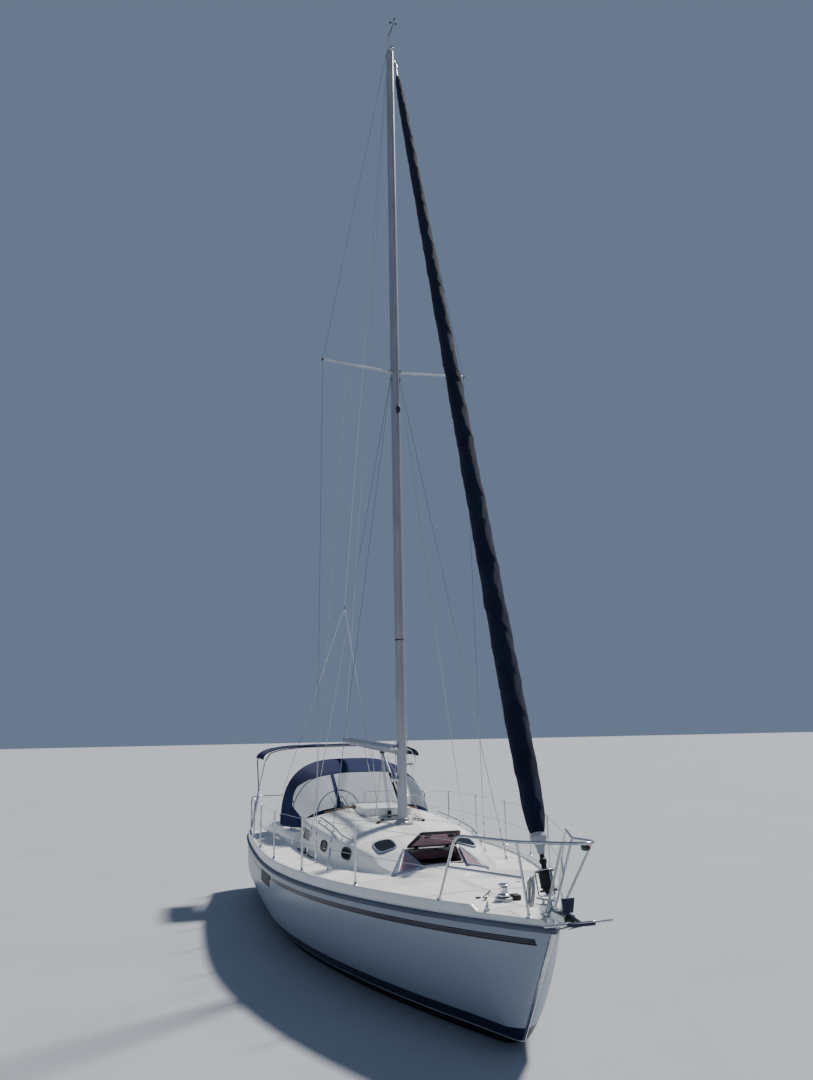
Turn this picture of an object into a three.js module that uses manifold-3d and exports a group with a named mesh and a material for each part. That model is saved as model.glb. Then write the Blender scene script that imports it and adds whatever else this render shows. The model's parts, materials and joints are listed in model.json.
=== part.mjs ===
// A 10.4 m masthead sloop lying afloat: hull, keel, rudder, deck, cabin, rig, canvas and deck gear.
// Millimetres. +X forward, +Y to port, +Z up. The origin is amidships on the centreline, at the water.
import * as THREE from 'three';
import { mergeVertices } from 'three/addons/utils/BufferGeometryUtils.js';
import Module from 'manifold-3d';

const wasm = await Module();
wasm.setup();

// Driving dimensions
const LENGTH = 10360;
const STEM_X = 5180;
const TRANSOM_X = STEM_X - LENGTH;
const HALF_BEAM = 1897;
const WIDEST = 0.577;
const BOW_FULLNESS = 2.1;
const STERN_NARROWING = 0.16;
const SHEER_BOW = 1262;
const SHEER_LOW = 1126;
const SHEER_STERN = 1010;
const SHEER_LOW_AT = 0.65;
const BOOT_Z = 103;
const BOOT_STEM_X = 4387;
const BOOT_HALF_BEAM = 1542;
const BOOT_WIDEST = 0.58;
const BOOT_FULLNESS = 1.71;
const BOOT_LENGTH = LENGTH - 1000;
const BODY_DEPTH = 550;
const BODY_DEEPEST_X = -300;
const FORE_ROCKER = 2.4;
const STERN_RISE = 90;
const BULWARK = 145;
const BOW_BULWARK = 85;
const BULWARK_STEP_X = 4380;
const DECK_EDGE = 60;
const DECK_CAMBER = 0.055;
const SHELL = 45;
const GAP = 0.3;
const DRAFT = 1980;
const MAST_X = 509;
const MAST_FOOT_Z = 1727;
const MASTHEAD_Z = 15700;
const MAST_RAKE = 149 / 13800;
const SPREADER_Z = 8976;
const SPREADER_REACH = 1251;
const WIRE = 5;
const CHAINPLATE_Y = 1290;
const STANCHION_HEIGHT = 660;
const TUBE = 13;
const SOLE_Z = -150;
const COCKPIT_AFT_X = -4700;
const COCKPIT_FORE_X = -1500;

// Materials: colour, roughness, metalness
const paint = (color, roughness, metalness = 0) =>
  new THREE.MeshStandardMaterial({ color, roughness, metalness });
const GELCOAT = paint(0xeef0f2, 0.28);
const TOPSIDES = paint(0xe8ebef, 0.22);
const RUBBER = paint(0x9aa0a6, 0.6);
const STEEL = paint(0xc4c8cc, 0.22, 1);
const ALLOY = paint(0xb9bec4, 0.42, 0.9);
const BRONZE = paint(0xa87f45, 0.35, 1);
const CANVAS = paint(0x1b2748, 0.9);
const ACRYLIC = paint(0x2a2228, 0.1);
const VINYL = paint(0xc9cfd2, 0.15);
const IRON = paint(0x2c3140, 0.7);
const BLACK = paint(0x17181a, 0.5);
const CUSHION = paint(0x6b3038, 0.9);
const ENGINE = paint(0x5f6b70, 0.6, 0.3);

const yacht = new THREE.Group();

// Solids
function toManifold(geometry) {
  const bare = geometry.clone();
  bare.deleteAttribute('normal');
  bare.deleteAttribute('uv');
  const merged = mergeVertices(bare, 1e-3);
  const triVerts = merged.index
    ? Uint32Array.from(merged.index.array)
    : Uint32Array.from({ length: merged.attributes.position.count }, (_, i) => i);
  const vertProperties = Float32Array.from(merged.attributes.position.array);
  return new wasm.Manifold(new wasm.Mesh({ numProp: 3, vertProperties, triVerts }));
}

function toGeometry(manifold) {
  const mesh = manifold.getMesh();
  const geometry = new THREE.BufferGeometry();
  geometry.setAttribute('position', new THREE.BufferAttribute(mesh.vertProperties, 3));
  geometry.setIndex(new THREE.BufferAttribute(mesh.triVerts, 1));
  geometry.computeVertexNormals();
  return geometry;
}

const join = (first, ...rest) =>
  toGeometry(rest.reduce((sum, piece) => sum.add(toManifold(piece)), toManifold(first)));
const cut = (body, ...tools) =>
  toGeometry(tools.reduce((left, tool) => left.subtract(toManifold(tool)), toManifold(body)));
const common = (a, b) => toGeometry(toManifold(a).intersect(toManifold(b)));
const moved = (geometry, x, y, z) => geometry.clone().translate(x, y, z);
// The hull or deck a little wider and longer, to leave a gap where it cuts a neighbour
const swollen = (geometry) => geometry.clone().scale(1.0001, 1.0003, 1);
const mirrored = (point) => [point[0], -point[1], point[2]];

function add(name, material, geometry) {
  const mesh = new THREE.Mesh(geometry, material);
  mesh.name = name;
  yacht.add(mesh);
  return geometry;
}

function box(x0, x1, y0, y1, z0, z1) {
  return new THREE.BoxGeometry(x1 - x0, y1 - y0, z1 - z0)
    .translate((x0 + x1) / 2, (y0 + y1) / 2, (z0 + z1) / 2);
}

// A round bar between two points, tapered where a second radius is given.
function rod(from, to, radius, sides = 8, endRadius = radius) {
  const a = new THREE.Vector3(...from);
  const b = new THREE.Vector3(...to);
  const along = b.clone().sub(a);
  const turn = new THREE.Quaternion()
    .setFromUnitVectors(new THREE.Vector3(0, 1, 0), along.clone().normalize());
  return new THREE.CylinderGeometry(endRadius, radius, along.length(), sides)
    .applyQuaternion(turn)
    .translate((a.x + b.x) / 2, (a.y + b.y) / 2, (a.z + b.z) / 2);
}

// A bent tube through a few points, mitred at each bend.
function bentTube(points, radius = TUBE, sides = 8) {
  const at = points.map((point) => new THREE.Vector3(...point));
  const runs = at.slice(1).map((point, i) => point.clone().sub(at[i]).normalize());
  const turn = new THREE.Quaternion().setFromUnitVectors(new THREE.Vector3(0, 1, 0), runs[0]);
  let ring = Array.from({ length: sides }, (_, i) => {
    const a = 2 * Math.PI * i / sides;
    const across = new THREE.Vector3(radius * Math.cos(a), 0, radius * Math.sin(a));
    return across.applyQuaternion(turn).add(at[0]);
  });
  const rings = [ring];
  runs.forEach((run, i) => {
    const mitre = run.clone().add(runs[Math.min(i + 1, runs.length - 1)]).normalize();
    ring = ring.map((point) => {
      const far = at[i + 1].clone().sub(point).dot(mitre) / run.dot(mitre);
      return point.clone().addScaledVector(run, far);
    });
    rings.push(ring);
  });
  return loft(rings.map((points) => points.map((point) => point.toArray())));
}

// A closed body through rings of points that all hold the same number of points.
function loft(rings) {
  const count = rings[0].length;
  const positions = rings.flat().flat();
  const index = [];
  for (let i = 0; i < rings.length - 1; i += 1) {
    for (let j = 0; j < count; j += 1) {
      const a = i * count + j;
      const b = i * count + (j + 1) % count;
      index.push(a, b, b + count, a, b + count, a + count);
    }
  }
  const flat = (ring) => {
    const spread = [0, 1, 2].map((axis) => {
      const values = ring.map((point) => point[axis]);
      return Math.max(...values) - Math.min(...values);
    });
    const [u, v] = [0, 1, 2].filter((axis) => axis !== spread.indexOf(Math.min(...spread)));
    return ring.map((point) => new THREE.Vector2(point[u], point[v]));
  };
  const capFaces = (ring) => THREE.ShapeUtils.triangulateShape(flat(ring), []);
  const last = (rings.length - 1) * count;
  const edges = new Set();
  for (let j = 0; j < count; j += 1) edges.add(`${j}>${(j + 1) % count}`);
  const uses = (faces) => faces.some(([a, b, c]) =>
    edges.has(`${a}>${b}`) || edges.has(`${b}>${c}`) || edges.has(`${c}>${a}`));
  // The side faces use each ring edge forward on the first ring, so its cap uses it backward.
  const first = capFaces(rings[0]);
  const end = capFaces(rings.at(-1));
  for (const [a, b, c] of first) index.push(...(uses(first) ? [a, c, b] : [a, b, c]));
  for (const [a, b, c] of end) {
    index.push(...(uses(end) ? [last + a, last + b, last + c] : [last + a, last + c, last + b]));
  }
  const geometry = new THREE.BufferGeometry();
  geometry.setAttribute('position', new THREE.Float32BufferAttribute(positions, 3));
  geometry.setIndex(index);
  return volumeOf(geometry) < 0 ? flipped(geometry) : geometry;
}

function volumeOf(geometry) {
  const p = geometry.attributes.position;
  const corner = (i) => new THREE.Vector3().fromBufferAttribute(p, geometry.index.getX(i));
  let volume = 0;
  for (let i = 0; i < geometry.index.count; i += 3) {
    volume += corner(i).dot(corner(i + 1).cross(corner(i + 2))) / 6;
  }
  return volume;
}

function flipped(geometry) {
  const turned = geometry.clone();
  const { array } = turned.index;
  for (let i = 0; i < array.length; i += 3) [array[i], array[i + 1]] = [array[i + 1], array[i]];
  return turned;
}

// A value between the rows of a table whose columns are x and value.
function along(table, x) {
  const rows = [...table].sort((a, b) => a[0] - b[0]);
  if (x <= rows[0][0]) return rows[0][1];
  for (let i = 1; i < rows.length; i += 1) {
    const [x0, v0] = rows[i - 1];
    const [x1, v1] = rows[i];
    if (x <= x1) return v0 + (v1 - v0) * (x - x0) / (x1 - x0);
  }
  return rows.at(-1)[1];
}

const range = (from, to, steps) =>
  Array.from({ length: steps + 1 }, (_, i) => from + (to - from) * i / steps);

// Hull lines
const fraction = (x) => (STEM_X - x) / LENGTH;

function sheerHalf(x) {
  const t = fraction(x);
  if (t < WIDEST) return HALF_BEAM * (1 - Math.max(0, 1 - t / WIDEST) ** BOW_FULLNESS);
  return HALF_BEAM * (1 - STERN_NARROWING * ((t - WIDEST) / (1 - WIDEST)) ** 2);
}

function sheerZ(x) {
  const t = fraction(x);
  if (t < SHEER_LOW_AT) {
    return SHEER_LOW + (SHEER_BOW - SHEER_LOW) * ((SHEER_LOW_AT - t) / SHEER_LOW_AT) ** 2;
  }
  return SHEER_LOW + (SHEER_STERN - SHEER_LOW) * ((t - SHEER_LOW_AT) / (1 - SHEER_LOW_AT)) ** 2;
}

function bootHalf(x) {
  const t = (BOOT_STEM_X - x) / BOOT_LENGTH;
  if (t < BOOT_WIDEST) {
    return BOOT_HALF_BEAM * (1 - Math.max(0, 1 - t / BOOT_WIDEST) ** BOOT_FULLNESS);
  }
  return BOOT_HALF_BEAM * (1 - STERN_NARROWING * ((t - BOOT_WIDEST) / (1 - BOOT_WIDEST)) ** 2);
}

function bodyBottom(x) {
  if (x > BOOT_STEM_X) {
    return BOOT_Z + (SHEER_BOW - BOOT_Z) * (x - BOOT_STEM_X) / (STEM_X - BOOT_STEM_X);
  }
  if (x > BODY_DEEPEST_X) {
    const s = (x - BODY_DEEPEST_X) / (BOOT_STEM_X - BODY_DEEPEST_X);
    return -BODY_DEPTH + (BODY_DEPTH + BOOT_Z) * s ** FORE_ROCKER;
  }
  const s = (BODY_DEEPEST_X - x) / (BODY_DEEPEST_X - TRANSOM_X);
  return -BODY_DEPTH + (BODY_DEPTH + STERN_RISE) * s ** 2;
}

// The section's shape: how full it is at the bottom (round) and up the side (full).
function sectionShape(x) {
  const xs = Math.min(x, 3900);
  const round = along([[-5200, 2], [0, 2], [4000, 1.5]], xs);
  const u = (BOOT_Z - bodyBottom(xs)) / (sheerZ(xs) - bodyBottom(xs));
  const ratio = Math.min(bootHalf(xs) / sheerHalf(xs), 0.97);
  const full = Math.log(1 - ratio ** round) / Math.log(1 - u);
  return { round, full: Math.min(full, 4.2) };
}

function sectionHalf(x, u) {
  const { round, full } = sectionShape(x);
  return sheerHalf(x) * (1 - (1 - u) ** full) ** (1 / round);
}

function hullRing(x, inset = 0, top = 0) {
  const low = bodyBottom(x) + inset;
  const high = sheerZ(x) + top;
  const side = range(0, 1, 12).map((i) => i ** 1.7).map((u) =>
    [x, Math.max(sectionHalf(x, u) - inset, 3), low + (high - low) * u]);
  side[0][1] = 0;
  return [...side.slice(1).reverse().map(mirrored), side[0], ...side.slice(1)];
}

// Hull and deck share their stations, so that the joint between them is tight.
const STATIONS = [...range(TRANSOM_X, 4300, 22), 4340, 4420, 4600, 4900, 5080, STEM_X - 12];
const hullBody = loft(STATIONS.map((x) => hullRing(x)));

// Deck surface
const BULWARK_STEPS = [[BULWARK_STEP_X - 40, BULWARK], [BULWARK_STEP_X + 40, BOW_BULWARK]];
const bulwarkAt = (x) => along(BULWARK_STEPS, x);
function deckZ(x, y) {
  const half = sheerHalf(x);
  return sheerZ(x) + DECK_EDGE + DECK_CAMBER * half * (1 - (y / half) ** 2);
}

function deckRing(x, low = sheerZ(x) + GAP) {
  const half = sheerHalf(x);
  const wall = Math.min(60, half * 0.35);
  const top = sheerZ(x) + bulwarkAt(x);
  const inner = half - wall - Math.min(10, half * 0.1);
  const side = [
    [x, half, low],
    [x, half - Math.min(8, half * 0.1), top],
    [x, half - wall, top],
    ...[1, 0.75, 0.5, 0.25].map((k) => [x, inner * k, deckZ(x, inner * k)]),
  ];
  return [...side.map(mirrored), [x, 0, deckZ(x, 0)], ...side.reverse()];
}

const deckBody = loft(STATIONS.map((x) => deckRing(x)));
const raisedDeck = moved(deckBody, 0, 0, GAP);
// All that lies under the deck's surface
const belowDeck = moved(loft(STATIONS.map((x) => deckRing(x, 0))), 0, 0, GAP);

// Cabin trunk: x, half width at the deck, height of the side's top edge, height at the centreline
const TRUNK = [
  [-1450, 1200, 1640, 1835],
  [-800, 1205, 1632, 1800],
  [-100, 1185, 1618, 1762],
  [509, 1125, 1592, 1727],
  [1070, 1025, 1550, 1672],
  [1500, 905, 1500, 1605],
  [1800, 800, 1448, 1545],
  [2120, 670, 1380, 1445],
  [2400, 500, 1330, 1372],
];

// How far the top's edge stands inside the trunk's foot
const TRUNK_SLOPE = 115;

function trunkRing(row, inset, bottom) {
  const [x, half, edge, crown] = row;
  const top = half - TRUNK_SLOPE - inset;
  const side = [
    [x, half + 20 - inset, bottom],
    [x, half - 60 - inset, edge - 50 - inset],
    [x, top, edge + 15 - inset],
    [x, top * 0.66, edge + (crown - edge) * 0.62 - inset],
    [x, top * 0.33, edge + (crown - edge) * 0.9 - inset],
  ];
  return [...side.map(mirrored), [x, 0, crown - inset], ...side.reverse()];
}

const trunkOuter = loft(TRUNK.map((row) => trunkRing(row, 0, 1000)));
const trunkInner = loft(TRUNK.map(([x, ...rest], i) => {
  const shifted = i === 0 ? x + SHELL : i === TRUNK.length - 1 ? x - 60 : x;
  return trunkRing([shifted, ...rest], SHELL, 700);
}));

// Forward hatch in the trunk's sloped front, and its lid raised as it is kept in port
const HATCH = { foreX: 2205, foreZ: 1428, foreHalf: 256, aftX: 1790, aftZ: 1547, aftHalf: 337 };
const HATCH_OPEN = 46;
const LID_THICK = 26;
const FRAME_TOP = -8;
const KNUCKLE_R = 7.7;

// A flat panel between a fore and an aft edge, between two heights above the hatch plane.
function hatchPanel(low, high, grow = 0, hinge = -grow) {
  const slope = Math.atan2(HATCH.aftZ - HATCH.foreZ, HATCH.foreX - HATCH.aftX);
  const long = Math.hypot(HATCH.aftZ - HATCH.foreZ, HATCH.foreX - HATCH.aftX);
  const ring = (level) => [
    [hinge, -HATCH.aftHalf - grow, level],
    [long + grow, -HATCH.foreHalf - grow, level],
    [long + grow, HATCH.foreHalf + grow, level],
    [hinge, HATCH.aftHalf + grow, level],
  ];
  return { geometry: loft([ring(low), ring(high)]), slope };
}

function inHatchPlane({ geometry, slope }, extra = 0) {
  return geometry.rotateY(slope - THREE.MathUtils.degToRad(extra))
    .translate(HATCH.aftX, 0, HATCH.aftZ);
}

// Flush hatches on the trunk top: name, centre x, centre y, half length, half width
const FLUSH_HATCHES = [
  ['starboard_hatch', 1500, -560, 190, 150],
  ['port_hatch', 1500, 560, 190, 150],
  ['aft_hatch', 20, 0, 150, 230],
];

function trunkTop(x, y) {
  const [half, edge, crown] = [1, 2, 3].map((column) => along(TRUNK.map((row) => [row[0], row[column]]), x));
  const k = Math.min(Math.abs(y) / (half - TRUNK_SLOPE), 1);
  const rise = [[0, 1], [0.33, 0.9], [0.66, 0.62], [1, 15 / Math.max(crown - edge, 15)]];
  return edge + (crown - edge) * along(rise, k);
}

// A thin plate that follows the trunk top at one place, tilted as the roof is there.
function roofPlate(x, y, halfLong, halfWide, low, high) {
  const pitch = Math.atan2(trunkTop(x - 150, y) - trunkTop(x + 150, y), 300);
  const roll = Math.atan2(trunkTop(x, y + 100) - trunkTop(x, y - 100), 200);
  const corner = Math.min(halfLong, halfWide) * 0.55;
  const shape = new THREE.Shape();
  shape.moveTo(-halfLong + corner, -halfWide);
  shape.lineTo(halfLong - corner, -halfWide);
  shape.absarc(halfLong - corner, -halfWide + corner, corner, -Math.PI / 2, 0);
  shape.absarc(halfLong - corner, halfWide - corner, corner, 0, Math.PI / 2);
  shape.absarc(-halfLong + corner, halfWide - corner, corner, Math.PI / 2, Math.PI);
  shape.absarc(-halfLong + corner, -halfWide + corner, corner, Math.PI, Math.PI * 1.5);
  return new THREE.ExtrudeGeometry(shape, { depth: high - low, bevelEnabled: false, curveSegments: 4 })
    .translate(0, 0, low)
    .rotateX(roll)
    .rotateY(pitch)
    .translate(x, y, trunkTop(x, y));
}

// Companionway in the trunk's aft end
const COMPANION = { half: 300, foreX: -900, sillZ: 1250 };
const HOOD = { aftX: -900, foreX: -240, half: 370, tall: 80 };
const SLIDE_LOW = 38;

// Three-cornered windows in the front slope
function frontWindow(side, grow, low, high) {
  const corners = [[1985, 420], [2235, 655], [2300, 330]];
  const middle = corners.reduce((sum, [x, y]) => [sum[0] + x / 3, sum[1] + y / 3], [0, 0]);
  const ring = (z) => corners.map(([x, y]) => {
    const dx = x - middle[0];
    const dy = y - middle[1];
    const scale = 1 + grow / Math.hypot(dx, dy);
    return [middle[0] + dx * scale, side * (middle[1] + dy * scale), z];
  });
  return loft([ring(low), ring(high)]);
}

// Cockpit: outer moulding, seats and foot well
const COAMING_TOP = 1400;
const SEAT_Z = 1020;
const COCKPIT_SOLE_Z = 620;
const WELL_HALF = 420;
const SEAT_HALF = 1100;
const COCKPIT_WALL = 30;
const WINCH_X = -3350;
const WINCH_Y = 1185;
const WINCH_BASE_Z = 1418;

const cockpitHole = join(
  box(COCKPIT_AFT_X - COCKPIT_WALL - GAP, COCKPIT_FORE_X + COCKPIT_WALL + GAP,
    -SEAT_HALF - COCKPIT_WALL - GAP, SEAT_HALF + COCKPIT_WALL + GAP, SEAT_Z - COCKPIT_WALL - GAP, 2000),
  box(COCKPIT_AFT_X + 250, COCKPIT_FORE_X + COCKPIT_WALL + GAP,
    -WELL_HALF - COCKPIT_WALL - GAP, WELL_HALF + COCKPIT_WALL + GAP,
    COCKPIT_SOLE_Z - COCKPIT_WALL - GAP, 1500));
const SWIM_STEP = { foreX: -4780, half: 760, z: 330 };
const swimStep = box(TRANSOM_X - 200, SWIM_STEP.foreX, -SWIM_STEP.half, SWIM_STEP.half, SWIM_STEP.z, 3000);
const LOCKER = { aftX: 4485, foreX: 4875, half: 145 };

// Rudder and propeller shaft lines
const RUDDER_X = -4080;
const STOCK_R = 28;
const STOCK_SIDES = 24;
const BEARING_GAP = 0.6;
const SHAFT_TILT = THREE.MathUtils.degToRad(8);
const SHAFT_R = 14;
const SHAFT_SIDES = 16;
const PROP = { x: -3180, z: -640, radius: 205, pitch: THREE.MathUtils.degToRad(35) };
const shaftPoint = (x) => [x, 0, PROP.z + (x - PROP.x) * Math.tan(SHAFT_TILT)];

function makeHull() {
  const saloon = common(loft(range(-1440, 860, 4).map((x) => hullRing(x, 90, 400))),
    box(-1440, 860, -1000, 1000, SOLE_Z, 3000));
  const forecabin = common(loft(range(910, 2700, 4).map((x) => hullRing(x, 90, 400))),
    box(910, 2700, -760, 760, 560, 3000));
  const stockBore = rod([RUDDER_X, 0, -400], [RUDDER_X, 0, 420], STOCK_R + BEARING_GAP, STOCK_SIDES);
  const shaftBore = rod(shaftPoint(-2500), shaftPoint(-1700), SHAFT_R + BEARING_GAP, SHAFT_SIDES);
  add('hull', TOPSIDES, cut(hullBody, saloon, forecabin, cockpitHole, swimStep, stockBore, shaftBore));
  add('engine_block', ENGINE, box(-1400, -760, -240, 240, SOLE_Z + GAP, 420));
  const mattress = common(loft(range(930, 2680, 4).map((x) => hullRing(x, 105, 400))),
    box(930, 2680, -745, 745, 560 + GAP, 660));
  add('berth_cushion', CUSHION, mattress);
}

// A slab over the anchor locker that follows the deck: margin outside the lid, its underside and its top
function lockerSlab(grow, low, high) {
  const { aftX, foreX, half } = LOCKER;
  return loft([aftX - grow, (aftX + foreX) / 2, foreX + grow].map((x) => {
    const z = deckZ(x, 150);
    const y = half + grow;
    return [[x, -y, z + low], [x, y, z + low], [x, y, z + high], [x, 0, z + high + 4], [x, -y, z + high]];
  }));
}

function makeDeck() {
  const { aftX, foreX, half } = LOCKER;
  const locker = box(aftX + 15, foreX - 15, -half + 15, half - 15, 1000, 3000);
  const rebate = lockerSlab(5, -20 - GAP, 400);
  const deck = cut(deckBody, trunkInner, cockpitHole, swimStep, locker, rebate);
  add('deck', GELCOAT, deck);
  add('anchor_locker_lid', GELCOAT, lockerSlab(0, -20, 4));
  return deck;
}

function makeRubRail() {
  const outline = [...STATIONS.map((x) => [x, -sheerHalf(x)]), [STEM_X + 8, 0]];
  const path = [...outline, ...outline.slice(0, -1).reverse().map(([x, y]) => [x, -y])];
  const ring = ([x, y], i) => {
    const before = path[Math.max(i - 1, 0)];
    const after = path[Math.min(i + 1, path.length - 1)];
    const run = new THREE.Vector2(after[0] - before[0], after[1] - before[1]).normalize();
    const spread = x > STEM_X - 1 ? 1.7 : 1;
    const out = (far, level) => [x + run.y * far * spread, y - run.x * far * spread, sheerZ(x) + level];
    return [out(0.8, -24), out(30, -16), out(30, 16), out(0.8, 24)];
  };
  add('rub_rail', RUBBER, cut(loft(path.map(ring)), swollen(hullBody), swollen(deckBody)));
}

function makeTrunk() {
  const hole = inHatchPlane(hatchPanel(-400, 400));
  const hatchSeats = FLUSH_HATCHES.map(([, x, y, long, wide]) =>
    roofPlate(x, y, long - 25, wide - 25, -200, 200));
  const companion = join(
    box(-1700, COMPANION.foreX, -COMPANION.half, COMPANION.half, 1500, 2200),
    box(-1700, -1380, -COMPANION.half, COMPANION.half, COMPANION.sillZ + 150, 2200));
  const windows = [-1, 1].map((side) => frontWindow(side, 0, 1300, 1700));
  const base = trunkTop(HOOD.aftX, 0);
  const hood = box(HOOD.aftX, HOOD.foreX, -HOOD.half, HOOD.half, base - 60, base + HOOD.tall);
  const slideway = box(HOOD.aftX - 1, HOOD.foreX - 40, -335, 335, base + SLIDE_LOW - GAP, base + 68);
  const shell = cut(trunkOuter, trunkInner, belowDeck);
  const frame = inHatchPlane(hatchPanel(FRAME_TOP - 60, FRAME_TOP, 30));
  const roof = join(shell, cut(hood, trunkInner), cut(frame, trunkInner));
  add('coachroof', GELCOAT, cut(roof, slideway, hole, companion, ...hatchSeats, ...windows));
  return shell;
}

function makeGlazing(shell) {
  for (const [word, side] of [['starboard', -1], ['port', 1]]) {
    add(`front_window_${word}`, ACRYLIC, common(shell, frontWindow(side, -1, 1300, 1700)));
  }
}

function makeHatches() {
  const low = FRAME_TOP + 5;
  const panel = hatchPanel(low, low + LID_THICK, 18, 12);
  const knuckles = [-215, 215].map((y) => join(rod([0, y - 30, 0], [0, y + 30, 0], KNUCKLE_R, 16),
    box(0, 18, y - 30, y + 30, -5, 7)));
  const lid = { geometry: join(panel.geometry, ...knuckles), slope: panel.slope };
  add('forward_hatch_lid', ACRYLIC, inHatchPlane(lid, HATCH_OPEN));
  for (const [name, x, y, long, wide] of FLUSH_HATCHES) {
    const plate = cut(roofPlate(x, y, long, wide, -8, 24), moved(trunkOuter, 0, 0, GAP));
    add(`${name}_lid`, ACRYLIC, plate);
  }
  // Sliding hatch over the companionway, and the drop-in board below it
  const top = trunkTop(HOOD.aftX, 0) + SLIDE_LOW;
  add('sliding_hatch', GELCOAT, box(-1480, HOOD.aftX + 30, -325, 325, top, top + 24));
  const sideY = COMPANION.half - GAP;
  add('washboard', ACRYLIC, box(-1440, -1415, -sideY, sideY, COMPANION.sillZ + 150 + GAP, top - 1));
}

function makeCockpit(deck) {
  const wall = COCKPIT_WALL;
  const outer = join(
    box(COCKPIT_AFT_X - wall, COCKPIT_FORE_X + wall,
      -SEAT_HALF - wall, SEAT_HALF + wall, SEAT_Z - wall, 1190),
    box(COCKPIT_AFT_X + 250 + GAP, COCKPIT_FORE_X + wall,
      -WELL_HALF - wall, WELL_HALF + wall, COCKPIT_SOLE_Z - wall, 1100));
  // Coaming: x and top height along it
  const ridge = [[COCKPIT_AFT_X + 100, 1250], [-4000, 1360], [-2200, COAMING_TOP],
    [COCKPIT_FORE_X + wall, 1450]];
  const coaming = (side) => loft(ridge.map(([x, top]) => [
    [x, side * 1090, sheerZ(x) + 25],
    [x, side * 1110, top],
    [x, side * 1260, top - 10],
    [x, side * 1330, sheerZ(x) + 25],
  ]));
  const seats = box(COCKPIT_AFT_X, COCKPIT_FORE_X, -SEAT_HALF, SEAT_HALF, SEAT_Z, 3000);
  const well = box(COCKPIT_AFT_X + 300, COCKPIT_FORE_X, -WELL_HALF, WELL_HALF, COCKPIT_SOLE_Z, 3000);
  const gate = box(-5000, -4600, -300, 300, SEAT_Z, 3000);
  const winchBases = [1, -1].map((side) =>
    rod([WINCH_X, side * WINCH_Y, 1340], [WINCH_X, side * WINCH_Y, WINCH_BASE_Z], 78, 14));
  const outside = cut(join(outer, coaming(1), coaming(-1), ...winchBases), moved(deck, 0, 0, GAP));
  add('cockpit', GELCOAT, cut(outside, seats, well, gate));
}

const PEDESTAL_X = -3700;
const WHEEL_Z = 1480;
const WHEEL_RADIUS = 430;
function makeHelm() {
  const post = join(
    rod([PEDESTAL_X, 0, COCKPIT_SOLE_Z + GAP], [PEDESTAL_X, 0, 1500], 60, 12, 45),
    box(PEDESTAL_X - 60, PEDESTAL_X + 90, -90, 90, 1480, 1640),
    rod([PEDESTAL_X, 0, COCKPIT_SOLE_Z + GAP], [PEDESTAL_X, 0, COCKPIT_SOLE_Z + 20], 120, 12));
  add('steering_pedestal', GELCOAT, post);
  const centre = [PEDESTAL_X - 110, 0, WHEEL_Z];
  const rim = new THREE.TorusGeometry(WHEEL_RADIUS, 13, 6, 24).rotateY(Math.PI / 2).translate(...centre);
  const spokes = range(0, 300, 5).map((angle) => {
    const a = THREE.MathUtils.degToRad(angle);
    return rod(centre, [centre[0], WHEEL_RADIUS * Math.cos(a), centre[2] + WHEEL_RADIUS * Math.sin(a)], 7, 6);
  });
  const hub = rod([PEDESTAL_X - 60 - GAP, 0, WHEEL_Z], [PEDESTAL_X - 130, 0, WHEEL_Z], 40, 12);
  add('steering_wheel', STEEL, join(hub, rim, ...spokes));
}

function foil(cx, z, chord, thick, leadFraction = 0.3) {
  const upper = [[0, 0], [0.05, 0.6], [0.2, 0.95], [0.35, 1], [0.6, 0.75], [0.85, 0.3], [1, 0.04]];
  const side = upper.map(([k, t]) => [cx + chord * (leadFraction - k), thick / 2 * t, z]);
  return [...side, ...side.slice(1).reverse().map(mirrored)];
}

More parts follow.
